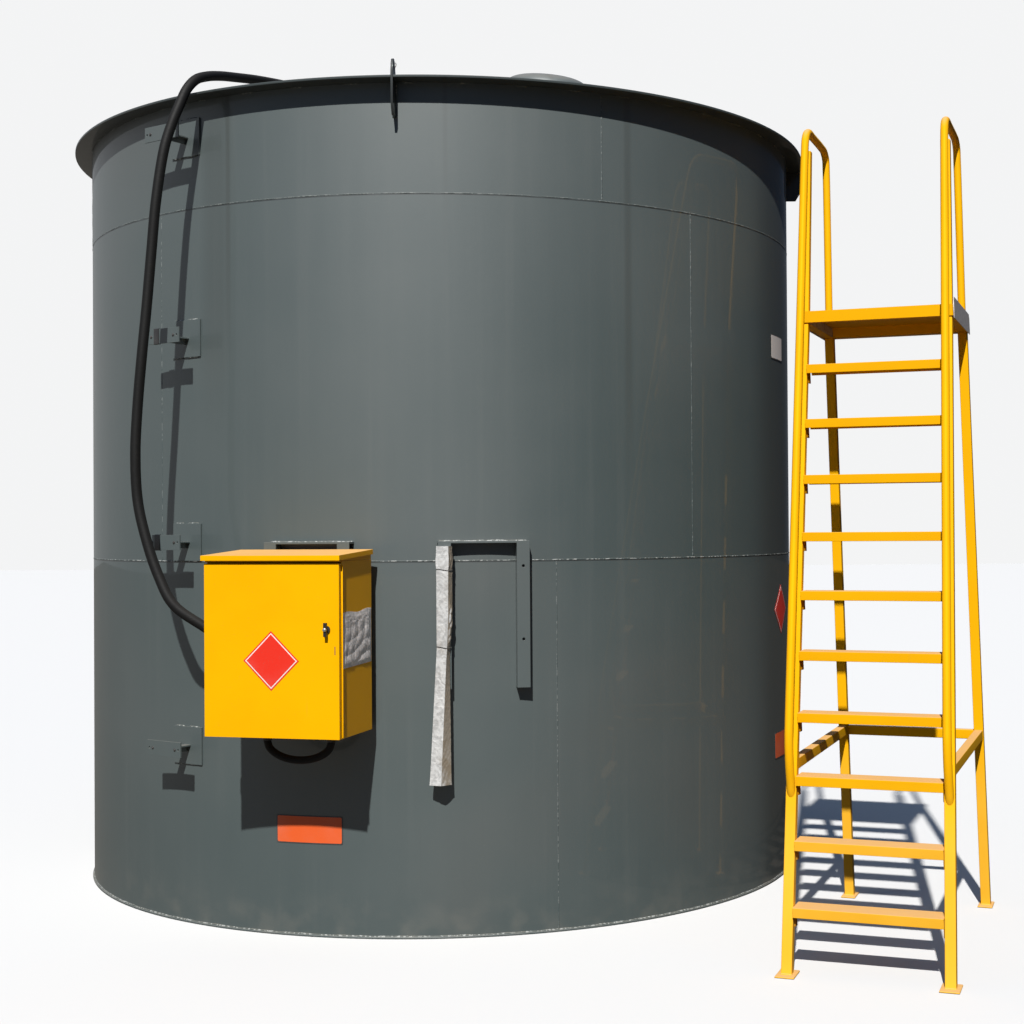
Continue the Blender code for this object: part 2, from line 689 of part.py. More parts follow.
def build_strip():
    """Wrapped angle strip on the spare frame's left leg, its foot hanging to the left."""
    holder = empty("strip_place", turn=SPARE_ANGLE)
    face = -FRAME_FACE - GAP
    outline = [(-0.190, face), (-0.190, face - 0.004), (-0.160, face - 0.030), (-0.128, face - 0.004),
               (-0.128, face)]
    verts = []
    for z, lean in ((STRIP_FOOT, STRIP_LEAN), (STRIP_KINK, 0.0), (STRIP_TOP, 0.0)):
        verts += [(x - lean, y, z) for x, y in outline]
    count = len(outline)
    faces = [tuple(range(count))[::-1], tuple(range(2 * count, 3 * count))]
    for low in (0, count):
        faces += [(low + i, low + (i + 1) % count, low + (i + 1) % count + count, low + i + count)
                  for i in range(count)]
    place("edge_strip", mesh_from(verts, faces), "wrapped_strip", parent=holder)


def front_line(z):
    """Depth of the treads' front edges at a height."""
    return FRONT_SLOPE * z


def back_line(z):
    """Depth of the back legs' rear face at a height."""
    return BACK_FOOT + (BACK_HEAD - BACK_FOOT) * z / PLATFORM_TOP


def place_racked(name, mesh, holder):
    """Place a piece of the stair, leaned sideways with the rest of its frame."""
    rack = Matrix.Identity(4)
    rack[0][2] = STAIR_RACK
    mesh.transform(rack)
    place(name, mesh, "stair_yellow", parent=holder)


def build_stair():
    """Free-standing stair with ten treads, a platform and two handrails."""
    holder = empty("stair_place", (*STAIR_AT, 0.0), STAIR_TURN)
    under = PLATFORM_TOP - PLATFORM_LIP - GAP
    for label, side in (("left", -1), ("right", 1)):
        x0 = side * STAIR_HALF - BAR / 2
        x1 = side * STAIR_HALF + BAR / 2
        place_racked(f"stringer_{label}", stringer(x0, x1), holder)
        foot = box(x0 - BACK_FOOT_SIDE, x1 + BACK_FOOT_SIDE, BACK_FOOT - BAR - FOOT_AHEAD,
                   BACK_FOOT + FOOT_AHEAD, 0.0, FOOT_T)
        low = FOOT_T / 2
        leg = prism([(back_line(low) - BAR, low), (back_line(low), low),
                     (back_line(under), under), (back_line(under) - BAR, under)], x0, x1)
        place_racked(f"back_leg_{label}", combined(leg, [foot]), holder)
        low = BRACE_TOP - BAR
        front = [front_line(z) + STEP_NOSE + BAR + 2 * GAP for z in (low, BRACE_TOP)]
        back = [back_line(z) - BAR - 2 * GAP for z in (low, BRACE_TOP)]
        brace = prism([(front[0], low), (back[0], low), (back[1], BRACE_TOP), (front[1], BRACE_TOP)],
                      side * STAIR_HALF - 0.0175, side * STAIR_HALF + 0.0175)
        place_racked(f"side_brace_{label}", brace, holder)
        place_racked(f"handrail_{label}", rail(side * STAIR_HALF), holder)
    inner = STAIR_HALF - BAR / 2 - GAP
    for number in range(1, STEP_COUNT + 1):
        place_racked(f"step_{number}", tread(FOOT_T + number * STEP_RISE, inner), holder)
    mid = back_line(BRACE_TOP) - BAR / 2
    rear = box(-inner, inner, mid - 0.0175, mid + 0.0175, BRACE_TOP - BAR, BRACE_TOP)
    place_racked("rear_brace", rear, holder)
    place_racked("platform", platform(), holder)


def stringer(x0, x1):
    """Front bar with its foot plate, going on above the platform as a post."""
    low = FOOT_T / 2
    face = [front_line(z) + STEP_NOSE for z in (low, PLATFORM_TOP)]
    head = face[1] + POST_SLOPE * (POST_TOP - PLATFORM_TOP)
    bar = prism([(face[0], low), (face[0] + BAR, low), (face[1] + BAR, PLATFORM_TOP),
                 (head + BAR, POST_TOP), (head, POST_TOP), (face[1], PLATFORM_TOP)], x0, x1)
    foot = box(x0 - FRONT_FOOT_SIDE, x1 + FRONT_FOOT_SIDE, STEP_NOSE - FOOT_AHEAD,
               STEP_NOSE + BAR + FOOT_AHEAD, 0.0, FOOT_T)
    return combined(bar, [foot])


def platform():
    """Deck on four edge beams, notched round the two front posts."""
    edge = STAIR_HALF + BAR / 2 + 0.004
    front = front_line(PLATFORM_TOP)
    under = PLATFORM_TOP - PLATFORM_LIP
    deck = box(-edge, edge, front, PLATFORM_BACK, under, PLATFORM_TOP)
    cuts = [box(-edge + BAR, edge - BAR, front + BAR / 2, BACK_HEAD - BAR,
                under - PLATFORM_LIP, PLATFORM_TOP - 0.004)]
    near = front + STEP_NOSE - PLATFORM_LIP * FRONT_SLOPE - GAP
    far = front + STEP_NOSE + BAR + 2 * GAP
    for side in (-1, 1):
        x0 = side * STAIR_HALF - BAR / 2 - GAP
        x1 = side * STAIR_HALF + BAR / 2 + GAP
        cuts.append(box(x0, x1, near, far, under - PLATFORM_LIP, PLATFORM_TOP + PLATFORM_LIP))
    return combined(deck, cuts, "DIFFERENCE")


def tread(top, half):
    """Channel tread, open downwards, with a lip at the front and the back."""
    sheet = 0.004
    front = front_line(top)
    back = front + STEP_DEPTH
    outline = [(front, top - STEP_LIP), (front, top), (back, top), (back, top - STEP_LIP),
               (back - sheet, top - STEP_LIP), (back - sheet, top - sheet),
               (front + sheet, top - sheet), (front + sheet, top - STEP_LIP)]
    return prism(outline, -half, half)


def rail(x):
    """Round handrail from the stringer up, over the platform and down to it."""
    def ahead(z):
        return front_line(z) - RAIL_AHEAD

    top = RAIL_TOP
    foot = RAIL_FOOT
    route = [(x, front_line(foot - 0.03) + STEP_NOSE + 0.006, foot - 0.03),
             (x, front_line(foot) + STEP_NOSE - 0.004, foot), (x, ahead(foot + 0.10) + 0.024, foot + 0.10),
             (x, ahead(foot + 0.18) + 0.004, foot + 0.18), (x, ahead(foot + 0.26), foot + 0.26),
             (x, ahead(1.3), 1.3), (x, ahead(2.0), 2.0), (x, ahead(2.7), 2.7),
             (x, ahead(top - 0.11), top - 0.11),
             (x, ahead(top) - 0.012, top - 0.052), (x, ahead(top) + 0.020, top - 0.018),
             (x, ahead(top) + 0.065, top), (x, ahead(top) + 0.14, top), (x, RAIL_BACK - 0.12, top),
             (x, RAIL_BACK - 0.045, top - 0.006), (x, RAIL_BACK - 0.008, top - 0.034),
             (x, RAIL_BACK - 0.008, top - 0.085), (x, RAIL_POST, PLATFORM_TOP + 0.06),
             (x, RAIL_POST, PLATFORM_TOP + GAP)]
    points = resample(smooth_route(route[:-1]), 3.6 * RAIL_R)
    curve = tube_curve("rail", points + [Vector(route[-1])], RAIL_R, 3)
    body = bpy.data.objects.new("rail", curve)
    bpy.context.collection.objects.link(body)
    bpy.context.view_layer.update()
    graph = bpy.context.evaluated_depsgraph_get()
    mesh = bpy.data.meshes.new_from_object(body.evaluated_get(graph))
    bpy.data.objects.remove(body, do_unlink=True)
    low = RAIL_FOOT - 0.15
    high = RAIL_FOOT + 0.20
    face = [front_line(z) + STEP_NOSE - GAP for z in (low, high)]
    beyond = prism([(face[0], low), (face[0] + 0.2, low), (face[1] + 0.2, high), (face[1], high)],
                   x - BAR, x + BAR)
    return combined(mesh, [beyond], "DIFFERENCE")


def main():
    """Build every piece of the tank and the stair."""
    clear_scene()
    build_shell()
    build_rim_and_roof()
    build_hatch()
    build_lugs()
    build_brackets()
    build_frame("cabinet_frame", CABINET_ANGLE)
    build_frame("spare_frame", SPARE_ANGLE)
    build_cabinet()
    build_nozzle()
    build_hoses()
    build_strip()
    build_stair()


main()
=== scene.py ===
"""Looks of the vertical diesel tank: plates, welds, cabinet, hoses, stair finish, light and camera.

Metres, +Z up. The origin is the tank's axis at floor level. Angles round the tank are in degrees,
zero towards -Y and growing towards +X, and a spot on the shell is an angle and a height. A piece on
the cabinet, a frame or a bracket is worked out as if it faced -Y and is then turned to its angle.
"""
import math

import bmesh
import bpy
import numpy as np
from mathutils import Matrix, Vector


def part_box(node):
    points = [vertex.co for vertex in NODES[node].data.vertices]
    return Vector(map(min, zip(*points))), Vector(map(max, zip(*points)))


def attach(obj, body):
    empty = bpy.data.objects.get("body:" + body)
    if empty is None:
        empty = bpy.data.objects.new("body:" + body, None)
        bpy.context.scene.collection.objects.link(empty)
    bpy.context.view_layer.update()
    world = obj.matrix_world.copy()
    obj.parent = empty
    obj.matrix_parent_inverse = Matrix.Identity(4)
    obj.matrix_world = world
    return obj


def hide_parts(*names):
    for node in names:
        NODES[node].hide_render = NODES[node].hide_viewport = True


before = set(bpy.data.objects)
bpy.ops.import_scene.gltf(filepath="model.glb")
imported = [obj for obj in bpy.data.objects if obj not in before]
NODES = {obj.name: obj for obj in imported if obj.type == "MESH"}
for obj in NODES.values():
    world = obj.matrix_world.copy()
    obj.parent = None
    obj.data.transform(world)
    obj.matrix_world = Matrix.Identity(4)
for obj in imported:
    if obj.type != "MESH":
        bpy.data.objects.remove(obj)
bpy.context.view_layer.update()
GAP = 0.0003

# Shell, rim and roof
SHELL_R = 1.715
SHELL_T = 0.006
SEAM_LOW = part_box("shell_lower_1")[1].z
SEAM_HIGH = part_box("shell_middle_1")[1].z
RIM_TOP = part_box("top_rim")[1].z
RIM_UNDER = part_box("top_rim")[0].z
RIM_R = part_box("top_rim")[1].x
RIM_INNER_R = 1.640
BOTTOM_R = 1.722
BOTTOM_T = 0.008
ROOF_EDGE_R = 1.690
ROOF_SLOPE = 9.0
ROOF_SEAMS = (8.0, 68.0, 128.0, 188.0, 248.0, 308.0)
PLATE_ANGLE = 81.9
SEAM_ANGLES = {"lower": 19.8, "middle": -39.5, "top": 26.9}
# Stains down the shell, the last one a broad band of painted shade: angle, half width in radians, lowest
# height and strength
STAINS_AND_PAINTED_SHADE = ((-26.3, 0.010, 2.2, 0.45), (-28.5, 0.060, 1.9, 0.30), (31.0, 0.016, 1.6, 0.30),
          (5.0, 0.008, 2.6, 0.25), (68.0, 0.210, -1.0, 0.60))
RIM_STITCHES = 47
STITCH_HALF = 0.025
# Weld beads: their sizes as width and height, and the step between their sections
SEAM_BEAD = (0.0050, 0.0018)
BASE_BEAD = (0.008, 0.0040)
ROOF_EDGE_BEAD = (0.010, 0.0045)
ROOF_BEAD = (0.008, 0.0022)
RIM_BEAD = (0.009, 0.0045)
LUG_BEAD = (0.008, 0.0045)
PAD_BEAD = (0.007, 0.0030)
FRAME_BEAD = (0.009, 0.0040)
BEAD_STEP = 0.0035
BEAD_SUNK = 0.0010
HATCH_ANGLE = 35.5
HATCH_AT_R = 0.90
HATCH_NECK_R = 0.172
HATCH_NECK_H = 0.085
HATCH_COVER_R = 0.195
HATCH_COVER_H = 0.0772

# Lugs, brackets and hanger frames
LUG_ANGLE = -1.7
LUG_COUNT = 4
LUG_T = 0.010
LUG_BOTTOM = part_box("lifting_lug_1")[0].z
LUG_EYE = (1.758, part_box("lifting_lug_1")[1].z - 0.034)
BRACKET_ANGLE = -34.0
BRACKET_HEIGHTS = (3.266, 2.428, 1.580, 0.736)
PAD_W = 0.165
PAD_H = 0.155
CROSS_OUT = SHELL_R + 0.130
CROSS_H = 0.062
CROSS_T = 0.006
STRAP_T = 0.0022
SPARE_ANGLE = 9.7
FRAME_W = 0.366
FRAME_TOP = 1.579
FRAME_FACE = SHELL_R * math.cos(math.radians(5.2)) + 0.050

# Cabinet
CABINET_ANGLE = -13.65
CABINET_HALF = 0.276
CABINET_LOW = 0.841
CABINET_BACK = FRAME_FACE + GAP + 0.002
CABINET_FRONT = 2.062
DOOR_BACK = 2.067
DOOR_FACE = 2.087
DOOR_LOW = 0.841
DOOR_HIGH = 1.501
CABINET_TOP = 1.510
HOOD_UNDER = (1.5317, 1.5469)
LOCK_AT = (0.227, 1.253)
SCRATCH_AT = (0.259, 0.0, 0.0)
LABEL_BORDER = 0.0045
POUCH_DEPTH = (-2.056, -1.764)
POUCH_HEIGHT = (1.109, 1.318)
PIPE_R = 0.0135

# Fuel hose, its nozzle and its gland
FUEL_HOSE_R = 0.0205
FUEL_HOSE_ROUTE = [
    (-0.590, -0.850, 3.636), (-0.665, -0.965, 3.624), (-0.735, -1.090, 3.606), (-0.790, -1.225, 3.578),
    (-0.830, -1.375, 3.542), (-0.860, -1.485, 3.508), (-0.886, -1.552, 3.476), (-0.912, -1.596, 3.424),
    (-0.935, -1.625, 3.350), (-0.960, -1.647, 3.270), (-0.985, -1.667, 3.168),
    (-1.014, -1.685, 2.955), (-1.032, -1.690, 2.750),
    (-1.051, -1.697, 2.518), (-1.068, -1.704, 2.330), (-1.087, -1.703, 2.116), (-1.095, -1.706, 1.932),
    (-1.086, -1.707, 1.749), (-1.050, -1.722, 1.600), (-0.995, -1.742, 1.450), (-0.930, -1.762, 1.335),
]
NOZZLE_ANGLE = -34.0
NOZZLE_AT_R = 0.800
NOZZLE_H = 0.100
NOZZLE_REACH = 0.070
GLAND_LENGTH = 0.040
HOSE_ENTRY = (-CABINET_HALF - GLAND_LENGTH, -1.900, 1.240)

# Loop hose under the cabinet
LOOP_HOSE_R = 0.015
LOOP_MID = 0.030
LOOP_SPAN = 0.270
LOOP_Y = -1.900
LOOP_DROP = 0.086
LOOP_LEG = 0.012
LOOP_TOP = CABINET_LOW - GAP - 0.022 - GAP
LOOP_ENDS = (LOOP_MID - LOOP_SPAN / 2, LOOP_MID + LOOP_SPAN / 2)

# Wrapped strip on the spare frame
STRIP_TOP = 1.560
STRIP_KINK = 1.150
STRIP_FOOT = 0.618
STRIP_LEAN = 0.030
STRIP_COUNTS = (10, 3, 26, 18, 3)
STRIP_TIES_Z = (1.466, 1.160)

# Stair, in its own frame: across, back from its foot line, and up
STAIR_AT = (1.683, -2.391)
STAIR_TURN = -19.4
STAIR_RACK = -0.034
STAIR_HALF = 0.292
BAR = 0.040
FOOT_T = 0.006
STEP_COUNT = 10
STEP_RISE = 0.2284
STEP_LIP = 0.036
STEP_NOSE = 0.0225
FRONT_SLOPE = 0.332
PLATFORM_TOP = FOOT_T + 11 * STEP_RISE
PLATFORM_LIP = 0.047
PLATFORM_BACK = 1.470
BACK_FOOT = 1.364
RAIL_R = 0.0165
RAIL_AHEAD = 0.046
RAIL_TOP = 3.330
RAIL_FOOT = 0.648
RAIL_BACK = 1.520
RAIL_POST = 1.430

# The photograph's camera
CAMERA_AT = (0.7076, -7.9996, 1.6248)
CAMERA_PITCH = 0.0106
CAMERA_ROLL = 0.0068
CAMERA_FOCAL_PX = 1577.59
IMAGE_PX = 1024
SENSOR = 36.0
PRINCIPAL_X_PX = 587.5

# Light: a key from where the photograph's sun stands, and a sky that is bright on the left
SUN_AZIMUTH = -7.0
SUN_HEIGHT = 47.0
KEY_STRENGTH = 5.9
KEY_SOFTNESS = 0.9
KEY_COLOUR = (1.0, 0.985, 0.95)
SKY_FRONT = (0.050, 0.074, 0.120)
SKY_LEFT = (0.44, 0.45, 0.45)
SKY_RIGHT = (0.010, 0.011, 0.013)
SKY_ABOVE = (0.10, 0.18, 0.34)
BACKDROP_COLOUR = (0.90, 0.905, 0.91)
FLOOR_SEEN = (0.64, 0.635, 0.63)
FLOOR_LEFT = (0.135, 0.122, 0.104)
FLOOR_RIGHT = (0.035, 0.030, 0.024)


class Shade:
    """A shader socket used as a number: sums on it add Math nodes, and plain numbers join in."""

    def __init__(self, nodes, socket):
        self.nodes = nodes
        self.socket = socket

    def math(self, operation, first, second=0.0, clamp=False):
        settings = {"operation": operation, "use_clamp": clamp}
        return self.nodes.node("ShaderNodeMath", settings, {0: first, 1: second})

    def __add__(self, other):
        return self.math("ADD", self, other)

    def __radd__(self, other):
        return self.math("ADD", other, self)

    def __sub__(self, other):
        return self.math("SUBTRACT", self, other)

    def __rsub__(self, other):
        return self.math("SUBTRACT", other, self)

    def __mul__(self, other):
        return self.math("MULTIPLY", self, other)

    def __rmul__(self, other):
        return self.math("MULTIPLY", other, self)

    def size(self):
        return self.math("ABSOLUTE", self)

    def clamped(self):
        return self.math("ADD", self, 0.0, clamp=True)

    def between(self, low, high):
        """Zero up to low, one from high, and a smooth rise from one to the other."""
        return self.nodes.node("ShaderNodeMapRange", {"interpolation_type": "SMOOTHSTEP"},
                               {"Value": self, "From Min": low, "From Max": high})


class Nodes:
    """A node tree, and the few ways in which nodes are added to it."""

    def __init__(self, tree):
        self.tree = tree

    def feed(self, socket, value):
        """Give a socket a value, or a link from another node."""
        if isinstance(value, Shade):
            self.tree.links.new(value.socket, socket)
        else:
            socket.default_value = value

    def node(self, kind, settings=None, values=None, output=0):
        """Node of a kind, its settings made first and then its sockets fed."""
        made = self.tree.nodes.new(kind)
        for name, value in (settings or {}).items():
            setattr(made, name, value)
        for name, value in (values or {}).items():
            self.feed(made.inputs[name], value)
        return Shade(self, made.outputs[output])

    def axis(self, name, vector):
        """One component of a vector."""
        return self.node("ShaderNodeSeparateXYZ", values={0: vector}, output=name)

    def mix(self, amount, first, second):
        """Colour between two colours, each a link or plain red, green and blue."""
        colours = [value if isinstance(value, Shade) else (*value, 1.0) for value in (first, second)]
        return self.node("ShaderNodeMix", {"data_type": "RGBA"},
                         {0: amount, 6: colours[0], 7: colours[1]}, output=2)


class Finish(Nodes):
    """Material of one finish, with the Principled shader that its nodes feed."""

    def __init__(self, name, colour, roughness, metallic=0.0, **constants):
        self.material = bpy.data.materials.new(name)
        self.material.use_nodes = True
        self.material.diffuse_color = (*colour, 1.0)
        super().__init__(self.material.node_tree)
        self.shader = self.tree.nodes["Principled BSDF"]
        self.set("Base Color", (*colour, 1.0))
        self.set("Roughness", roughness)
        self.set("Metallic", metallic)
        for name, value in constants.items():
            self.set(name.replace("_", " "), value)
        self.base = colour
        self.place = self.node("ShaderNodeTexCoord", output="Object")

    def set(self, name, value):
        """Give the shader's own socket a value or a link."""
        self.feed(self.shader.inputs[name], value)

    def stretched(self, x, y, z):
        """The place on the piece, scaled by its axes, for patterns that run longer one way."""
        return self.node("ShaderNodeMapping", values={"Vector": self.place, "Scale": (x, y, z)})

    def noise(self, scale, detail=3.0, vector=None, rough=0.5, distortion=0.0):
        return self.node("ShaderNodeTexNoise", values={
            "Vector": vector or self.place, "Scale": scale, "Detail": detail,
            "Roughness": rough, "Distortion": distortion})

    def cells(self, scale, vector=None, feature="F1"):
        return self.node("ShaderNodeTexVoronoi", {"feature": feature},
                         {"Vector": vector or self.place, "Scale": scale}, output="Distance")

    def bump(self, height, distance, strength=1.0, under=None):
        """Relief of a height in metres, laid over another relief if one is given."""
        values = {"Height": height, "Distance": distance, "Strength": strength}
        if under:
            values["Normal"] = under
        return self.node("ShaderNodeBump", values=values)

    def facing(self, name):
        """One on faces that look along an axis, zero on those square to it, less on the rest."""
        return self.axis(name, self.node("ShaderNodeTexCoord", output="Normal"))

    def layer(self, amount, colour):
        """Lay a colour over the ones laid before, by an amount."""
        self.base = self.mix(amount, self.base, colour)

    def done(self, roughness, relief):
        """The material, with its layers of colour, its roughness and its relief fed."""
        self.set("Base Color", self.base)
        self.set("Roughness", roughness)
        self.set("Normal", relief)
        return self.material


def tank_paint(name="tank_paint", dust_and_highlight_spots=0.0, dark=0.0):
    """Semi-gloss dark grey-green paint: sprayed texture, rain streaks, dust and a few scuffs.

    The kind for welds is spotted pale by a share, partly dust and partly painted highlight, and has
    no coat, and the dark share brings the paint towards black. Long stains run down the shell, and a
    broad band of painted shade darkens its right side. A dark line of painted shadow lies under each
    seam, and the upper shell is painted lighter as a painted highlight.
    """
    paint = Finish(name, (0.052, 0.071, 0.072), 0.50, Coat_Weight=0.0 if dust_and_highlight_spots else 0.45,
                   Coat_Roughness=0.02, Specular_IOR_Level=0.5 if dust_and_highlight_spots else 0.9, IOR=1.52)
    height = paint.axis("Z", paint.place)
    cloud = paint.noise(0.9, 4.0)
    streak = paint.noise(1.0, 4.0, paint.stretched(16.0, 16.0, 0.45), rough=0.6)
    fine = paint.noise(1.0, 3.0, paint.stretched(90.0, 90.0, 1.6))
    speck = paint.noise(260.0, 2.0).between(0.68, 0.76)
    paint.base = (0.046, 0.065, 0.066)
    paint.layer(cloud.between(0.32, 0.70), (0.060, 0.077, 0.077))
    paint.layer(streak.between(0.50, 0.78) * 0.16, (0.092, 0.103, 0.098))
    paint.layer(paint.noise(0.55, 3.0).between(0.52, 0.72) * 0.30, (0.080, 0.074, 0.067))
    paint.layer(fine.between(0.60, 0.80) * 0.14, (0.038, 0.048, 0.047))
    paint.layer(speck * 0.18, (0.22, 0.21, 0.19))
    across, out = paint.axis("X", paint.place), paint.axis("Y", paint.place)
    # Painted highlight: the upper shell painted lighter where the key light's sheen falls
    paint.layer(height.between(1.9, 3.3) * 0.17, (0.125, 0.138, 0.137))
    turn = across.math("ARCTAN2", across, 0.0 - out)
    on_shell = 1.0 - (across * across + out * out).between(SHELL_R ** 2 + 0.003, SHELL_R ** 2 + 0.008)
    # Dark streaks down the shell; the broad band at 68 degrees is painted shade on the side away from the
    # key light
    for angle, width, low, share in STAINS_AND_PAINTED_SHADE:
        near = 1.0 - (turn - math.radians(angle)).size().between(0.2 * width, width)
        fade = height.between(low, low + 0.8) * (0.5 + cloud)
        paint.layer(near * fade * share, (0.028, 0.032, 0.028))
    # Painted shadow: a dark line just under each seam's bead
    for seam in (SEAM_LOW, SEAM_HIGH):
        line = 1.0 - (height - seam + 0.0050).size().between(0.0012, 0.0030)
        paint.layer(line * on_shell * 0.75, (0.006, 0.007, 0.008))
    dust = paint.facing("Z").between(0.35, 0.95) * (0.25 + 0.40 * paint.noise(14.0, 4.0))
    splash = (1.0 - height.between(0.01, 0.22)) * paint.noise(9.0, 5.0).between(0.40, 0.76) * 0.16
    paint.layer((dust + splash).clamped(), (0.23, 0.20, 0.16))
    if dust_and_highlight_spots:
        # Pale spots along the beads: partly dust, partly painted highlight
        paint.layer(paint.noise(85.0, 2.0).between(0.50, 0.60) * dust_and_highlight_spots, (0.36, 0.37, 0.36))
        relief = paint.bump(paint.noise(220.0, 2.0), 0.0010, 0.7)
    else:
        lumps = paint.bump(paint.noise(30.0, 3.0), 0.0005, 0.25)
        relief = paint.bump(paint.noise(420.0, 2.0), 0.00012, 0.4, lumps)
    if dark:
        paint.layer(dark, (0.004, 0.004, 0.005))
        paint.set("Specular IOR Level", 0.3)
    return paint.done(0.46 + 0.08 * cloud + 0.08 * streak + 0.25 * dust + 0.3 * splash, relief)


def yellow_paint(name, gloss, colour, dusty):
    """Yellow powder coat: slight orange peel, dust on what faces up and low down, stains, specks."""
    paint = Finish(name, colour, gloss, Specular_IOR_Level=0.3, Specular_Tint=(1.0, 0.62, 0.05, 1.0))
    red, green, blue = colour
    cloud = paint.noise(3.2, 4.0)
    paint.base = (red * 0.96, green * 0.93, blue)
    paint.layer(cloud.between(0.3, 0.7), colour)
    smear = paint.noise(1.0, 5.0, paint.stretched(30.0, 30.0, 4.0), rough=0.65)
    paint.layer(smear.between(0.62, 0.86) * 0.22, (0.50, 0.27, 0.03))
    speck = paint.noise(240.0, 2.0).between(0.68, 0.76)
    paint.layer(speck * 0.35, (0.30, 0.17, 0.05))
    low = 1.0 - paint.axis("Z", paint.place).between(0.40, 0.72)
    paint.layer(low * (0.06 + 0.20 * cloud), (0.80, 0.50, 0.16))
    dust = paint.facing("Z").between(0.45, 0.95) * (dusty + 0.30 * paint.noise(18.0, 4.0))
    paint.layer(dust.clamped(), (0.60, 0.37, 0.20))
    peel = paint.bump(paint.noise(380.0, 2.0), 0.00018, 0.5)
    return paint.done(gloss + 0.10 * cloud + 0.30 * dust, peel)


def hose_skin():
    """Black-brown rubber with the faint marks of its cloth and dust on top."""
    cover = Finish("hose_skin", (0.006, 0.006, 0.006), 0.60, Specular_IOR_Level=0.22)
    mark = cover.noise(1.0, 3.0, cover.stretched(45.0, 45.0, 260.0))
    dust = cover.facing("Z").between(0.1, 0.9) * 0.14 + cover.noise(60.0, 4.0).between(0.55, 0.8) * 0.06
    cover.layer(dust, (0.08, 0.07, 0.06))
    return cover.done(0.52 + 0.22 * mark, cover.bump(mark, 0.0006, 0.5))


def zinc():
    """Dull zinc: small crystal patches and handling marks."""
    metal = Finish("dull_zinc", (0.44, 0.44, 0.42), 0.42, 0.9)
    patch = metal.cells(90.0)
    stain = metal.noise(12.0, 5.0)
    metal.base = (0.36, 0.36, 0.35)
    metal.layer(patch.between(0.1, 0.8), (0.50, 0.50, 0.48))
    metal.layer(stain.between(0.55, 0.80) * 0.6, (0.23, 0.20, 0.17))
    return metal.done(0.32 + 0.25 * stain, metal.bump(metal.noise(300.0), 0.0002, 0.5))


def galvanized():
    """Weathered galvanized sheet: broad spangle, chalky grey, with brown dust in its low spots."""
    sheet = Finish("galvanized_sheet", (0.42, 0.39, 0.38), 0.55, 0.25)
    spangle = sheet.cells(140.0, sheet.stretched(1.0, 1.0, 0.7))
    dirt = sheet.noise(22.0, 5.0).between(0.50, 0.78)
    sheet.base = (0.34, 0.32, 0.31)
    sheet.layer(spangle.between(0.05, 0.75), (0.50, 0.47, 0.46))
    sheet.layer(dirt * 0.5, (0.26, 0.18, 0.10))
    return sheet.done(0.48 + 0.25 * dirt, sheet.bump(sheet.noise(240.0), 0.0002, 0.5))


def black_plastic():
    """Moulded black plastic with a fine grain."""
    plastic = Finish("black_plastic", (0.016, 0.016, 0.017), 0.38)
    grain = plastic.noise(700.0, 2.0)
    wear = plastic.noise(40.0, 4.0).between(0.55, 0.8)
    plastic.base = (0.014, 0.014, 0.015)
    plastic.layer(wear * 0.5, (0.06, 0.056, 0.05))
    return plastic.done(0.32 + 0.2 * grain, plastic.bump(grain, 0.0001, 0.6))


def wrap_film(name, pale, creases, brown=0.0):
    """Pale film: milky where it stands off, dusty in patches, with short creases across.

    The brown share dulls what faces towards +X: partly dirt on the film, partly painted shade on the side
    away from the key light.
    """
    film = Finish(name, pale, 0.35, Coat_Weight=0.4, Coat_Roughness=0.15)
    fold = film.noise(26.0, 4.0, distortion=1.6)
    crease = film.noise(creases, 4.0, film.stretched(0.35, 0.35, 1.0), rough=0.6)
    film.base = tuple(0.72 * part for part in pale)
    film.layer(fold.between(0.38, 0.60), pale)
    film.layer(crease.between(0.56, 0.70) * 0.4, (0.85, 0.84, 0.83))
    # Brown on what faces +X: partly dirt, partly painted shade
    dirt = film.noise(11.0, 5.0).between(0.54, 0.75) * 0.4 + brown * film.facing("X").between(0.45, 0.75)
    film.layer(dirt.clamped(), (0.24, 0.20, 0.15))
    return film.done(0.24 + 0.30 * fold, film.bump(fold + crease, 0.0025, 0.6))


def sticker(name, colour):
    """Printed vinyl: even colour with slight fading, fine grain and dust specks."""
    vinyl = Finish(name, colour, 0.38)
    fade = vinyl.noise(7.0, 4.0)
    pale = tuple(0.85 * c + 0.06 for c in colour)
    vinyl.layer(fade.between(0.4, 0.75) * 0.5, pale)
    speck = vinyl.noise(210.0, 2.0).between(0.66, 0.74)
    vinyl.layer(speck * 0.3, (0.25, 0.20, 0.15))
    return vinyl.done(0.30 + 0.2 * fade, vinyl.bump(vinyl.noise(120.0), 0.0002, 0.4))


def circle(count):
    """Angles evenly round a circle, in radians."""
    return np.linspace(0.0, math.tau, count, endpoint=False)


def unit(vectors):
    """Vectors divided by their lengths."""
    return vectors / np.linalg.norm(vectors, axis=-1, keepdims=True)


def distances(line):
    """Distance of each of a line's points from its start, measured along the line."""
    return np.concatenate([[0.0], np.cumsum(np.linalg.norm(np.diff(line, axis=0), axis=1))])


def read_at(line, wanted):
    """Points of a line at distances along it, between its own points on straight stretches."""
    return np.stack([np.interp(wanted, distances(line), part) for part in line.T], axis=1)


def turned(points, degrees):
    """Points turned about the Z axis."""
    c, s = math.cos(math.radians(degrees)), math.sin(math.radians(degrees))
    return np.asarray(points, float) @ np.array([[c, s, 0.0], [-s, c, 0.0], [0.0, 0.0, 1.0]])


def facing(degrees):
    """Way to turn points worked out as if their piece faced -Y to its angle round the tank."""
    return lambda points: turned(points, degrees)


in_cabinet = facing(CABINET_ANGLE)


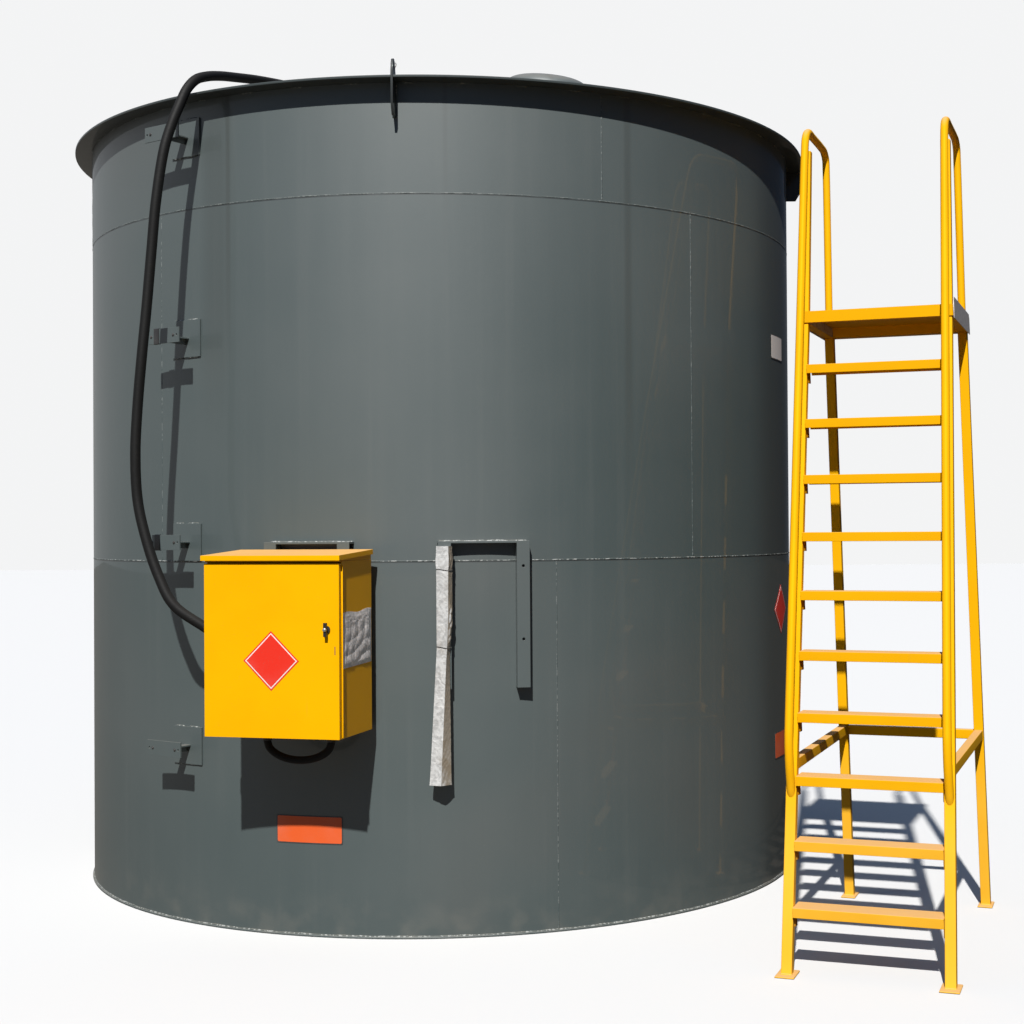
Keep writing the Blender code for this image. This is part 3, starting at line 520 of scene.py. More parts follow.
def on_wall(angle, radius, z):
    """Points at angles round the tank, distances from its axis and heights, as whole arrays."""
    angle, radius, z = np.broadcast_arrays(np.radians(angle), radius, z)
    return np.stack([radius * np.sin(angle), -radius * np.cos(angle), z], axis=-1)


def roof_height(radius):
    """Height of the roof's upper face at a distance from the axis."""
    return RIM_TOP + GAP + (ROOF_EDGE_R - radius) * math.tan(math.radians(ROOF_SLOPE))


def on_roof(local, radius, angle):
    """Points given square to the roof's slope, moved to their spot on the roof."""
    lean = math.radians(ROOF_SLOPE)
    c, s = math.cos(lean), math.sin(lean)
    local = np.asarray(local, float) @ np.array([[1.0, 0.0, 0.0], [0.0, c, s], [0.0, -s, c]])
    return turned(local, angle) + on_wall(angle, radius, roof_height(radius))


def on_stair(local):
    """Points of the stair's own frame, leaned sideways with it and moved to its place."""
    local = np.array(local, float)
    local[..., 0] += STAIR_RACK * local[..., 2]
    return turned(local, STAIR_TURN) + (*STAIR_AT, 0.0)


def aimed(points, at, way):
    """Points of a body on the Z axis, turned so that Z looks along a way, and moved to a point."""
    way = unit(np.asarray(way, float))
    helper = (0.0, 0.0, 1.0) if abs(way[2]) < 0.9 else (1.0, 0.0, 0.0)
    first = unit(np.cross(helper, way))
    return np.asarray(points, float) @ np.array([first, np.cross(way, first), way]) + at


def linked(name, data):
    """Object of a mesh, curve, light or camera, put into the scene."""
    made = bpy.data.objects.new(name, data)
    bpy.context.scene.collection.objects.link(made)
    return made


def shown(name, data, finish, body="tank", replaces=()):
    """Piece of a mesh or curve in one of the finishes, riding on its body."""
    material, usual_slot = FINISHES[finish]
    data.materials.append(material)
    piece = linked(name, data)
    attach(piece, body)
    if replaces:
        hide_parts(*replaces)
    return piece


def piece_from(name, shape, finish, body="tank", replaces=(), place=None):
    """Piece from a shape's points and faces, smooth but for its sharp edges."""
    points, faces = shape
    if place:
        points = place(points)
    mesh = bpy.data.meshes.new(name)
    mesh.from_pydata(np.asarray(points, float).reshape(-1, 3).tolist(), [], [list(f) for f in faces])
    mesh.shade_smooth()
    mesh.set_sharp_from_angle(angle=math.radians(50.0))
    return shown(name, mesh, finish, body, replaces)


def skin(rings, closed=False):
    """Points and faces of the surface through closed rings of points, each joined to the next.

    Ring i and point k meet ring i + 1 and point k + 1 in one four-sided face. An open surface has
    its first and last rings filled. Faces are turned over if the volume they enclose is negative.
    """
    rings = np.asarray(rings, float)
    count, around = rings.shape[:2]
    i, k = np.meshgrid(np.arange(count if closed else count - 1), np.arange(around), indexing="ij")
    nxt, side = (i + 1) % count, (k + 1) % around
    quads = np.stack([i * around + k, nxt * around + k, nxt * around + side, i * around + side], -1)
    points = rings.reshape(-1, 3)
    quads = quads.reshape(-1, 4)
    a, b, c, d = (points[quads[:, n]] - points.mean(0) for n in range(4))
    inside_out = np.einsum("ij,ij->", a, np.cross(b, c) + np.cross(c, d)) < 0
    faces = (quads[:, ::-1] if inside_out else quads).tolist()
    if not closed:
        first, last = list(range(around)), list(range((count - 1) * around, count * around))
        faces += [first[::-1], last] if inside_out else [first, last[::-1]]
    return points, faces


def joined(shapes):
    """Several shapes as one set of points and faces."""
    points, faces, start = [], [], 0
    for part_points, part_faces in shapes:
        points.append(np.asarray(part_points, float).reshape(-1, 3))
        faces += [[start + i for i in face] for face in part_faces]
        start += len(points[-1])
    return np.vstack(points), faces


def rounded_box(low_a, high_a, low_b, high_b, radius, steps=3):
    """Closed outline of a rectangle with round corners, as pairs: a quarter circle at each corner."""
    turn = np.linspace(0.0, math.pi / 2, steps + 1)
    corners = ((high_a - radius, high_b - radius, 0.0), (low_a + radius, high_b - radius, 0.5),
               (low_a + radius, low_b + radius, 1.0), (high_a - radius, low_b + radius, 1.5))
    return np.vstack([np.stack([a + radius * np.cos(turn + quarter * math.pi),
                                b + radius * np.sin(turn + quarter * math.pi)], 1)
                      for a, b, quarter in corners])


def slab(x, outline):
    """Plate or bar between two places along X, its section an outline of Y and Z pairs."""
    outline = np.asarray(outline, float)
    return skin([np.column_stack([np.full(len(outline), at), outline]) for at in x])


def block(x, y, z, radius, steps=3):
    """Bar between two places along X, between two in Y and two in Z, its long edges rounded."""
    return slab(x, rounded_box(*y, *z, radius, steps))


def lathe(profile, steps):
    """Ring turned round Z from a closed outline of radius and height pairs.

    At each angle the outline's radius goes along the sine and the negative cosine.
    """
    profile = np.asarray(profile, float)
    turn = circle(steps)
    rings = np.stack([profile[None, :, 0] * np.sin(turn)[:, None],
                      -profile[None, :, 0] * np.cos(turn)[:, None],
                      np.broadcast_to(profile[:, 1], (steps, len(profile)))], -1)
    return skin(rings, closed=True)


def spindle(profile, steps):
    """Solid body turned round Z from radius and height pairs, its two ends closed flat or at a pole."""
    profile = np.asarray(profile, float)
    turn = circle(steps)
    radius = np.maximum(profile[:, 0], 1e-5)
    rings = np.stack([radius[:, None] * np.cos(turn), radius[:, None] * np.sin(turn),
                      np.broadcast_to(profile[:, 1, None], (len(profile), steps))], -1)
    return skin(rings)


def steps_of(path, closed):
    """Direction of a path at each of its points: from the point before to the point after."""
    step = np.roll(path, -1, 0) - np.roll(path, 1, 0)
    if not closed:
        step[0], step[-1] = path[1] - path[0], path[-1] - path[-2]
    return unit(step)


def tube(path, radius, sides, normal, closed=False):
    """Round tube: a circle carried along a path that lies near one plane.

    The circle's two axes are the cross product of the plane's normal and the path's direction, and
    the cross product of the direction and that first axis.
    """
    path = np.asarray(path, float)
    step = steps_of(path, closed)
    first = unit(np.cross(normal, step))
    second = np.cross(step, first)
    turn = circle(sides)[None, :, None]
    rings = path[:, None] + radius * (np.cos(turn) * first[:, None] + np.sin(turn) * second[:, None])
    return skin(rings, closed)


def bead(path, outward, width, height, closed=False, seed=0):
    """Weld bead: a half-round section carried along a path, rippled and uneven.

    Across the path the section is width/2 times the cosine and height times the sine, sunk a little
    into the plates. Both swell by two slow sines along the path and by a short saw of 4.5 mm, as the
    puddle leaves it, and an open bead's ends are rounded off.
    """
    path = np.asarray(path, float)
    outward = np.broadcast_to(np.asarray(outward, float), path.shape)
    along = distances(path)
    across = unit(np.cross(steps_of(path, closed), outward))
    uneven = 1.0 + 0.16 * np.sin(along * 31.0 + seed) + 0.14 * np.sin(along * 77.0 + 2.0 * seed)
    ripple = 1.0 + 0.20 * ((along / 0.0045) % 1.0 - 0.5)
    size = uneven * ripple
    if not closed:
        ends = np.clip(np.minimum(along, along[-1] - along) / (0.6 * width), 0.0, 1.0)
        size = size * np.sqrt(np.clip(1.0 - (1.0 - ends) ** 2, 0.02, 1.0))
    turn = np.linspace(0.0, math.pi, 6)[None, :, None]
    size = size[:, None, None]
    offsets = 0.5 * width * size * np.cos(turn) * across[:, None]
    lifts = (height * size * np.sin(turn) - BEAD_SUNK) * outward[:, None]
    return skin(path[:, None] + offsets + lifts, closed)


def bolt(radius, height):
    """Hexagon head with a chamfer on a round washer, standing on the Z axis."""
    head = spindle([(radius, 0.0012), (radius, 0.8 * height), (0.86 * radius, height)], 6)
    washer = spindle([(1.5 * radius, 0.0), (1.5 * radius, 0.0010), (1.4 * radius, 0.0014)], 20)
    return joined([washer, head])


def bolts(places, radius, height):
    """Bolts at places, each a point and the way its head looks."""
    points, faces = bolt(radius, height)
    return joined([(aimed(points, at, way), faces) for at, way in places])


def smooth_line(route, spacing):
    """Centripetal Catmull-Rom curve through the route's points, read at even spacing along its length.

    Each stretch blends the lines through its four nearest points with weights set by the square
    roots of their distances, so that the curve neither loops nor overshoots.
    """
    route = np.asarray(route, float)
    route = np.vstack([2 * route[0] - route[1], route, 2 * route[-1] - route[-2]])
    a, b, c, d = (route[i:len(route) - 3 + i, None, :] for i in range(4))
    t1, t2, t3 = np.cumsum([np.sqrt(np.linalg.norm(gap, axis=-1, keepdims=True))
                            for gap in (b - a, c - b, d - c)], axis=0)
    t = t1 + (t2 - t1) * np.arange(16)[None, :, None] / 16

    def blend(first, second, low, high):
        return first * (high - t) / (high - low) + second * (t - low) / (high - low)

    ab, bc, cd = blend(a, b, 0.0, t1), blend(b, c, t1, t2), blend(c, d, t2, t3)
    fine = blend(blend(ab, bc, 0.0, t2), blend(bc, cd, t1, t3), t1, t2)
    fine = np.vstack([fine.reshape(-1, 3), route[-2]])
    length = distances(fine)[-1]
    return read_at(fine, np.linspace(0.0, length, max(2, round(length / spacing)) + 1))


def hose(name, node, points, radius):
    """Hose along its line as a curve with a round section, standing for its plain solid."""
    curve = bpy.data.curves.new(name, "CURVE")
    curve.dimensions = "3D"
    curve.bevel_depth = radius
    curve.bevel_resolution = 6
    curve.use_fill_caps = True
    spline = curve.splines.new("POLY")
    spline.points.add(len(points) - 1)
    spline.points.foreach_set("co", np.hstack([points, np.ones((len(points), 1))]).ravel())
    return shown(name, curve, "hose", replaces=(node,))


def build_hoses():
    """Fuel hose from the roof nozzle to the cabinet, the loop below it, and the clamps on both."""
    start = on_roof([(0.0, -NOZZLE_REACH - reach, NOZZLE_H) for reach in (GAP, 0.06)],
                    NOZZLE_AT_R, NOZZLE_ANGLE)
    end = turned([(HOSE_ENTRY[0] - reach, *HOSE_ENTRY[1:]) for reach in (0.045, GAP)], CABINET_ANGLE)
    middle = smooth_line(np.vstack([start[1:], FUEL_HOSE_ROUTE, end[:1]]), FUEL_HOSE_R)
    line = np.vstack([start[:1], middle, end[1:]])
    fuel = hose("fuel_hose_rubber", "fuel_hose", line, FUEL_HOSE_R)
    turn = np.linspace(0.0, math.pi, 9)
    bow = np.stack([LOOP_MID - LOOP_SPAN / 2 * np.cos(turn), np.full(9, LOOP_Y),
                    LOOP_TOP - LOOP_LEG - (LOOP_DROP - LOOP_LEG) * np.sin(turn)], axis=1)
    bow = smooth_line(bow, LOOP_HOSE_R / 2)
    tips = [(end, LOOP_Y, LOOP_TOP) for end in LOOP_ENDS]
    loop_line = turned(np.vstack([tips[:1], bow, tips[1:]]), CABINET_ANGLE)
    loop = hose("loop_hose_rubber", "loop_hose", loop_line, LOOP_HOSE_R)
    band = rounded_box(FUEL_HOSE_R - 0.001, FUEL_HOSE_R + 0.0016, 0.012, 0.026, 0.0006, 2)
    ring, ring_faces = lathe(band, 64)
    clamps = [(aimed(ring, line[0], line[2] - line[0]), ring_faces),
              (aimed(ring, line[-1], line[-3] - line[-1]), ring_faces)]
    piece_from("hose_clamps", joined(clamps), "zinc")


def plate_dents(angle, z):
    """Inward dip of a rolled plate, in metres: long shallow waves, and a pull along each seam.

    The waves are four sines of the angle and the height added up, and the pull is a bell curve of
    the height's distance from each seam and from the tank's foot.
    """
    waves = (np.sin(5.0 * angle + 1.1 * z) + np.sin(11.0 * angle - 2.3 * z + 1.0)
             + np.sin(17.0 * angle + 3.1 * z + 2.0) + np.sin(4.2 * z + 3.0 * angle))
    pull = sum(np.exp(-((z - seam) / 0.045) ** 2) for seam in (0.0, SEAM_LOW, SEAM_HIGH))
    return 0.00010 * (waves + 4.0) + 0.00012 * pull


def build_shell():
    """Twelve rolled plates: a flat section carried along an arc, its outside and inside both dipped."""
    for course, first in SEAM_ANGLES.items():
        seams = [first, first + PLATE_ANGLE, first + 2 * PLATE_ANGLE, first + 180.0 + PLATE_ANGLE,
                 first + 360.0]
        for number, (start, end) in enumerate(zip(seams, seams[1:]), 1):
            node = f"shell_{course}_{number}"
            low, high = (corner.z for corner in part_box(node))
            rows = np.linspace(low, high, max(6, round((high - low) / 0.03)))
            outer = np.stack([np.full(len(rows), SHELL_R), rows], 1)
            inner = np.stack([np.full(2, SHELL_R - SHELL_T), rows[[-1, 0]]], 1)
            section = np.vstack([outer, inner])
            turns = np.linspace(start + 0.005, end - 0.005, max(8, round(end - start)))
            angle, row = np.meshgrid(turns, np.arange(len(section)), indexing="ij")
            z = section[row, 1]
            radius = section[row, 0] - plate_dents(np.radians(angle), z)
            piece_from(f"plate_{course}_{number}", skin(on_wall(angle, radius, z)), "tank",
                       replaces=(node,))


def build_top_and_bottom():
    """Rim ring, cone roof and bottom plate, each a section turned round the tank's axis."""
    rim = rounded_box(RIM_INNER_R, RIM_R, RIM_UNDER, RIM_TOP, 0.0015)
    slope = math.tan(math.radians(ROOF_SLOPE))
    radii = np.linspace(ROOF_EDGE_R, 0.002, 24)
    top = np.stack([radii, RIM_TOP + GAP + (ROOF_EDGE_R - radii) * slope], 1)
    under = top[::-1] - (0.0, 0.005)
    under[-1] = (ROOF_EDGE_R - 0.032, RIM_TOP + GAP)
    base = [(0.0, 0.0), (BOTTOM_R - 0.001, 0.0), (BOTTOM_R, 0.001), (BOTTOM_R, BOTTOM_T - 0.001),
            (BOTTOM_R - 0.001, BOTTOM_T), (0.0, BOTTOM_T)]
    piece_from("rim_ring", lathe(rim, 480), "rim", replaces=("top_rim",))
    piece_from("roof_sheet", lathe(np.vstack([top, under]), 360), "tank", replaces=("roof_cone",))
    piece_from("base_plate", spindle(base, 480), "tank", replaces=("bottom_plate",))


def build_hatch():
    """Hatch on the roof's slope: neck, domed cover, the six dogs that hold it, and the foot's weld."""
    neck = rounded_box(HATCH_NECK_R - 0.006, HATCH_NECK_R, -0.030, HATCH_NECK_H, 0.001)
    turn = np.linspace(0.0, math.pi / 2, 20)
    edge = 0.012
    dome = np.stack([HATCH_COVER_R * np.cos(turn) ** 0.6,
                     HATCH_NECK_H + GAP + edge + (HATCH_COVER_H - edge) * np.sin(turn) ** 0.8], 1)
    foot = HATCH_NECK_H + GAP
    cover = np.vstack([[(0.0, foot), (HATCH_COVER_R - 0.001, foot), (HATCH_COVER_R, foot + 0.001)], dome])

    def seat(points):
        return on_roof(points, HATCH_AT_R, HATCH_ANGLE)

    piece_from("hatch_neck", lathe(neck, 120), "tank", replaces=("roof_hatch_neck",), place=seat)
    piece_from("hatch_cover", spindle(cover, 120), "tank", replaces=("roof_hatch_cover",), place=seat)
    dogs = []
    for angle in np.arange(0.0, 360.0, 60.0):
        ear = block((-0.014, 0.014), (0.1715, 0.2150), (0.044, 0.052), 0.001)
        arm = block((-0.009, 0.009), (0.1880, 0.2150), (0.094, 0.102), 0.001)
        rod = spindle([(0.006, 0.038), (0.006, 0.116), (0.005, 0.118)], 16)
        nut = spindle([(0.011, 0.102), (0.011, 0.111), (0.0095, 0.112)], 6)
        posts = [(points + (0.0, 0.206, 0.0), faces) for points, faces in (rod, nut)]
        dogs += [(turned(points, angle), faces) for points, faces in (ear, arm, *posts)]
    piece_from("hatch_dogs", joined(dogs), "tank", place=seat)
    turns = circle(300)
    out = np.stack([np.cos(turns), np.sin(turns), np.zeros(300)], 1)
    lean = (out + (0.0, 0.0, 1.0)) / math.sqrt(2.0)
    path = HATCH_NECK_R * out + (0.0, 0.0, 0.001)
    piece_from("weld_hatch_foot", bead(path, lean, 0.009, 0.0040, True), "weld", place=seat)


def leaning(turns, lean):
    """Directions away from the axis at angles round the tank, leaning up by an angle."""
    return on_wall(turns, math.cos(math.radians(lean)), math.sin(math.radians(lean)))


def ring_bead(radius, z, size, lean, seed):
    """Bead right round the tank at a radius and height, its crown leaning up by an angle."""
    turns = np.linspace(0.0, 360.0, round(math.tau * radius / BEAD_STEP), endpoint=False)
    return bead(on_wall(turns, radius, z), leaning(turns, lean), *size, True, seed)


def arc_bead(centre, half, radius, z, size, lean, seed):
    """Bead along a stretch of the shell: half its length in metres to each side of an angle."""
    spread = math.degrees(half / radius)
    turns = np.linspace(centre - spread, centre + spread, max(5, round(half / 0.0018)))
    return bead(on_wall(turns, radius, z), leaning(turns, lean), *size, seed=seed)


def upright_bead(angle, low, high, size, lean, seed):
    """Bead up the shell at an angle, its crown leaning sideways by an angle."""
    z = np.arange(low, high, BEAD_STEP)
    crown = on_wall(angle + lean, np.ones(len(z)), 0.0)
    return bead(on_wall(angle, SHELL_R, z), crown, *size, seed=seed)


def build_seam_welds():
    """Beads at the shell's seams and base, under the rim, and at the roof's edge and seams."""
    rings = (("weld_seam_low", "weld", SHELL_R - 0.0003, SEAM_LOW, SEAM_BEAD, 0.0),
             ("weld_seam_high", "weld_faint", SHELL_R - 0.0003, SEAM_HIGH, SEAM_BEAD, 0.0),
             ("weld_base", "weld", SHELL_R, BOTTOM_T + 0.001, BASE_BEAD, 45.0),
             ("weld_roof_edge", "weld", ROOF_EDGE_R, RIM_TOP + 0.001, ROOF_EDGE_BEAD, 45.0))
    for seed, (name, finish, *where) in enumerate(rings):
        piece_from(name, ring_bead(*where, seed), finish)
    upright = []
    spans = {"lower": (BOTTOM_T, SEAM_LOW), "middle": (SEAM_LOW, SEAM_HIGH), "top": (SEAM_HIGH, RIM_UNDER)}
    for course, first in SEAM_ANGLES.items():
        low, high = spans[course]
        for seed, angle in enumerate((0.0, PLATE_ANGLE, 2 * PLATE_ANGLE, 180.0 + PLATE_ANGLE)):
            upright.append(upright_bead(first + angle, low + 0.003, high - 0.003, SEAM_BEAD, 0.0, seed))
    piece_from("weld_upright_seams", joined(upright), "weld_faint")
    stitches = [arc_bead(centre, STITCH_HALF, SHELL_R, RIM_UNDER - 0.0005, RIM_BEAD, -45.0, seed)
                for seed, centre in enumerate(np.arange(0.0, 360.0, 360.0 / RIM_STITCHES))]
    piece_from("weld_rim_stitches", joined(stitches), "weld_faint")
    lean = leaning(0.0, 90.0 - ROOF_SLOPE)
    radii = np.arange(0.03, ROOF_EDGE_R - 0.01, 0.0045)
    radial = []
    for seed, angle in enumerate(ROOF_SEAMS):
        path = on_wall(angle, radii, roof_height(radii) - 0.0004)
        radial.append(bead(path, turned(lean, angle), *ROOF_BEAD, seed=seed))
    piece_from("weld_roof_seams", joined(radial), "weld_faint")


def build_fitting_welds():
    """Beads beside the lugs, above and below the pads, and at the frames' tops."""
    small = []
    lug_side = math.degrees((LUG_T / 2 + 0.001) / SHELL_R)
    for lug in range(LUG_COUNT):
        for side in (-1, 1):
            angle = LUG_ANGLE + lug * 360.0 / LUG_COUNT + side * lug_side
            small.append(upright_bead(angle, LUG_BOTTOM, RIM_UNDER - 0.004, LUG_BEAD, side * 45.0, lug))
    step = math.degrees(PAD_W / 4 / SHELL_R)
    for seed, height in enumerate(BRACKET_HEIGHTS):
        for edge in (-1, 1):
            for shift, half in ((-1.1, 0.026), (0.9, 0.030)):
                small.append(arc_bead(BRACKET_ANGLE + shift * step, half, SHELL_R + 0.003,
                                      height + edge * (PAD_H / 2 + 0.001), PAD_BEAD, edge * 30.0, seed))
    for seed, angle in enumerate((CABINET_ANGLE, SPARE_ANGLE)):
        small.append(arc_bead(angle, FRAME_W / 2 - 0.004, SHELL_R + 0.001, FRAME_TOP + 0.0005,
                              FRAME_BEAD, 45.0, seed))
    piece_from("weld_fittings", joined(small), "weld")


def refined(name, node, finish, width, body="tank"):
    """Copy of a frame node with its triangles merged into whole faces and its edges rounded."""
    work = bmesh.new()
    work.from_mesh(NODES[node].data)
    bmesh.ops.remove_doubles(work, verts=work.verts, dist=0.00002)
    bmesh.ops.dissolve_limit(work, angle_limit=math.radians(0.5), verts=work.verts, edges=work.edges)
    sharp = [edge for edge in work.edges
             if len(edge.link_faces) == 2 and edge.calc_face_angle(0.0) > math.radians(34.0)]
    bmesh.ops.bevel(work, geom=sharp, offset=width, segments=2, profile=0.5, affect="EDGES",
                    clamp_overlap=True)
    mesh = bpy.data.meshes.new(name)
    work.to_mesh(mesh)
    work.free()
    if "custom_normal" in mesh.attributes:
        mesh.attributes.remove(mesh.attributes["custom_normal"])
    mesh.materials.clear()
    mesh.shade_smooth()
    piece = shown(name, mesh, finish, body, replaces=(node,))
    flat = piece.modifiers.new("flat_faces", "WEIGHTED_NORMAL")
    flat.keep_sharp = False


def build_refined():
    """Every straight-sided node again with rounded edges, in its own finish."""
    edges = {"hose_bracket": ("tank", 0.0006), "cabinet_frame": ("tank", 0.001),
             "spare_frame": ("tank", 0.001), "roof_nozzle": ("tank", 0.001),
             "lifting_lug": ("dark_paint", 0.0015), "stringer": ("stair", 0.003),
             "back_leg": ("stair", 0.003), "step": ("stair", 0.0015), "side_brace": ("stair", 0.003),
             "rear_brace": ("stair", 0.003), "platform": ("stair", 0.0015),
             "cabinet_body": ("cabinet", 0.0008), "cabinet_hood": ("cabinet", 0.0009),
             "cabinet_door": ("cabinet", 0.0009), "door_hinge_lower": ("cabinet", 0.0004),
             "door_hinge_upper": ("cabinet", 0.0004)}
    for node in sorted(NODES):
        family = node.rstrip("_0123456789").removesuffix("_left").removesuffix("_right")
        if family in edges:
            refined(f"{node}_painted", node, *edges[family], "door" if node == "cabinet_door" else "tank")
    refined("door_lock_moulded", "door_lock", "plastic", 0.0006, "door")
    # Dark steel on the loop plate, partly painted shade under the cabinet
    refined("loop_plate_turned", "loop_plate", "dark_steel", 0.0006)


def rounded_columns(half, low, high, radius):
    """Columns of a rectangle with round corners: places along it, and each one's low and high edge."""
    turn = np.linspace(0.0, math.pi / 2, 6)
    end = radius * (1.0 - np.cos(turn))
    inset = radius * (1.0 - np.sin(turn))
    middle = np.linspace(radius - half, half - radius, 11)[1:-1]
    along = np.concatenate([end - half, middle, half - end[::-1]])
    inset = np.concatenate([inset, np.zeros(len(middle)), inset[::-1]])
    return along, low + inset, high - inset


def diamond_columns(half, centre, size):
    """Columns of a square on its corner: its edges close in evenly from the middle to both tips."""
    along = np.linspace(-half, half, 33) * size
    tall = np.maximum(half * size - np.abs(along), 0.0008)
    return along, centre - tall, centre + tall


def plaque(columns, inner, outer):
    """Thin plate from columns between two depths, as across, depth and height."""
    along, low, high = columns
    corners = ((outer, low), (outer, high), (inner, high), (inner, low))
    return skin(np.stack([np.stack([along, np.full(len(along), depth), z], 1) for depth, z in corners], 1))


def wall_place(angle):
    """Way to lay a plaque on the shell round an angle."""
    return lambda points: on_wall(angle + np.degrees(points[:, 0] / SHELL_R), SHELL_R + points[:, 1],
                                  points[:, 2])


def door_place(points):
    """A plaque's points laid on the cabinet's door."""
    return in_cabinet(np.stack([points[:, 0], -DOOR_FACE - points[:, 1], points[:, 2]], 1))


def build_labels():
    """Blank plates and blank red diamonds, on the shell and on the door."""
    plates = (("label_below_cabinet", -14.05, 0.1430, 0.370, 0.483, "orange"),
              ("label_right_low", 70.2, 0.1230, 0.552, 0.674, "orange"),
              ("label_right_high", 68.9, 0.0980, 2.408, 2.522, "pale"))
    for name, angle, half, low, high, finish in plates:
        for layer, (grow, paint) in enumerate(((0.0, "dark_steel"), (-LABEL_BORDER, finish))):
            columns = rounded_columns(half + grow, low - grow, high + grow, 0.006)
            piece_from(f"{name}_{layer + 1}", plaque(columns, 0.0002, 0.0010 + 0.0004 * layer), paint,
                       place=wall_place(angle))
    diamonds = (("door", "door", 0.113, 1.133, door_place, "cabinet_yellow"),
                ("shell", "tank", 0.1155, 1.242, wall_place(70.2), "tank_paint"))
    for name, body, half, centre, place, slot in diamonds:
        for layer, (size, paint) in enumerate(((1.0, "red"), (0.935, "pale"), (0.885, "red"))):
            columns = diamond_columns(half, centre, size)
            piece_from(f"diamond_{name}_{layer + 1}", plaque(columns, 0.0002, 0.0008 + 0.0003 * layer),
                       paint, body, place=place)


def build_door_details():
    """Gasket inside the door, the lock's centre and a scratch on its face."""
    edges = [rounded_box(inset - CABINET_HALF, CABINET_HALF - inset, DOOR_LOW + inset, DOOR_HIGH - inset,
                         radius, 6) for inset, radius in ((0.006, 0.012), (0.018, 0.008))]
    back, near = -DOOR_BACK - 0.010, -DOOR_BACK + 0.0025
    loops = [np.insert(edges[edge], 1, depth, axis=1)
             for edge, depth in ((0, back), (0, near), (1, near), (1, back))]
    piece_from("door_gasket", skin(np.stack(loops, 1), closed=True), "rubber", "door", place=in_cabinet)
    points, faces = spindle([(0.0075, 0.0), (0.0075, 0.004), (0.006, 0.0055), (0.0, 0.006)], 32)
    centre = aimed(points, (LOCK_AT[0], -DOOR_FACE - 0.0218, LOCK_AT[1]), (0.0, -1.0, 0.0))
    piece_from("lock_centre", (centre, faces), "zinc", "door", place=in_cabinet)
    scratch = plaque(rounded_columns(0.0022, 1.158, 1.190, 0.0020), 0.0001, 0.0004)
    piece_from("door_scratch", scratch, "primer", "door",
               place=lambda points: door_place(points + SCRATCH_AT))


def build_cabinet_trim():
    """Front lip, sill over the door, side cheeks up to the hood's slope, and the film pouch."""
    front, back = -CABINET_FRONT, -CABINET_BACK
    lip = block((CABINET_HALF - 0.001, CABINET_HALF + 0.0055), (front - 0.0015, front + 0.0005),
                (DOOR_LOW + 0.004, 1.494), 0.0008, 2)
    sill = block((0.003 - CABINET_HALF, CABINET_HALF - 0.003), (0.001 - DOOR_FACE, front + 0.004),
                 (DOOR_HIGH + 0.0055, CABINET_TOP + 0.0018), 0.0008, 2)
    cheek = [(front + 0.001, CABINET_TOP + 2 * GAP), (back - 0.001, CABINET_TOP + 2 * GAP),
             (back - 0.001, HOOD_UNDER[1]), (front + 0.001, HOOD_UNDER[0])]
    cheeks = [slab(sorted((side * CABINET_HALF, side * (CABINET_HALF - 0.0015))), cheek) for side in (1, -1)]
    piece_from("cabinet_front_lip", joined([lip, sill, *cheeks]), "cabinet", place=in_cabinet)
    piece_from("side_pouch", pouch(), "foil", place=in_cabinet)


def build_fittings():
    """Gland, ferrules on the loop, and the mounting plate, its bolts and the pipes in the cabinet."""
    gland = joined([spindle([(0.034, 0.0), (0.034, 0.004), (0.033, 0.005)], 48),
                    spindle([(0.034, 0.005), (0.034, 0.016), (0.031, 0.018)], 6),
                    spindle([(0.0255, 0.018), (0.026, 0.020), (0.026, 0.034), (0.0245, 0.038),
                             (0.0215, GLAND_LENGTH - GAP)], 48)])
    seat = (-CABINET_HALF - GAP, *HOSE_ENTRY[1:])
    piece_from("gland_turned", (aimed(gland[0], seat, (-1.0, 0.0, 0.0)), gland[1]), "zinc",
               replaces=("hose_gland",), place=in_cabinet)
    points, faces = spindle([(0.0185, 0.0), (0.0195, 0.002), (0.0195, 0.010), (0.0172, 0.0115)], 40)
    hung = points * (1.0, 1.0, -1.0)
    ferrules = [(hung + (end, LOOP_Y, LOOP_TOP), [face[::-1] for face in faces]) for end in LOOP_ENDS]
    # Dark steel on the ferrules, partly painted shade under the cabinet
    piece_from("loop_ferrules", joined(ferrules), "dark_steel", place=in_cabinet)
    face = -CABINET_BACK - 0.010
    plate = block((-0.225, 0.225), (face, face + 0.003), (0.88, 1.47), 0.001)
    piece_from("mounting_plate", plate, "galvanized", place=in_cabinet)
    heads = [((x, face, z), (0.0, -1.0, 0.0)) for x in (-0.205, 0.205) for z in (0.90, 1.45)]
    piece_from("mounting_bolts", bolts(heads, 0.008, 0.006), "zinc", place=in_cabinet)
    (left, right), entry, low = LOOP_ENDS, HOSE_ENTRY[2], CABINET_LOW + 0.004
    runs = (((-0.270, entry), (-0.200, entry), (-0.140, entry - 0.010), (-0.110, entry - 0.050),
             (left, entry - 0.110), (left, low)), ((right, low), (right, 1.05), (right, 1.25)))
    pipes = [tube(smooth_line([(x, LOOP_Y, z) for x, z in run], 0.008), PIPE_R, 24, (0.0, 1.0, 0.0))
             for run in runs]
    nut, faces = spindle([(0.020, -0.016), (0.022, -0.014), (0.022, 0.014), (0.020, 0.016)], 6)
    pipes += [(nut + (x, LOOP_Y, z), faces) for x, z in ((left, 1.02), (right, 1.02), (right, 1.25))]
    piece_from("inner_pipes", joined(pipes), "zinc", place=in_cabinet)


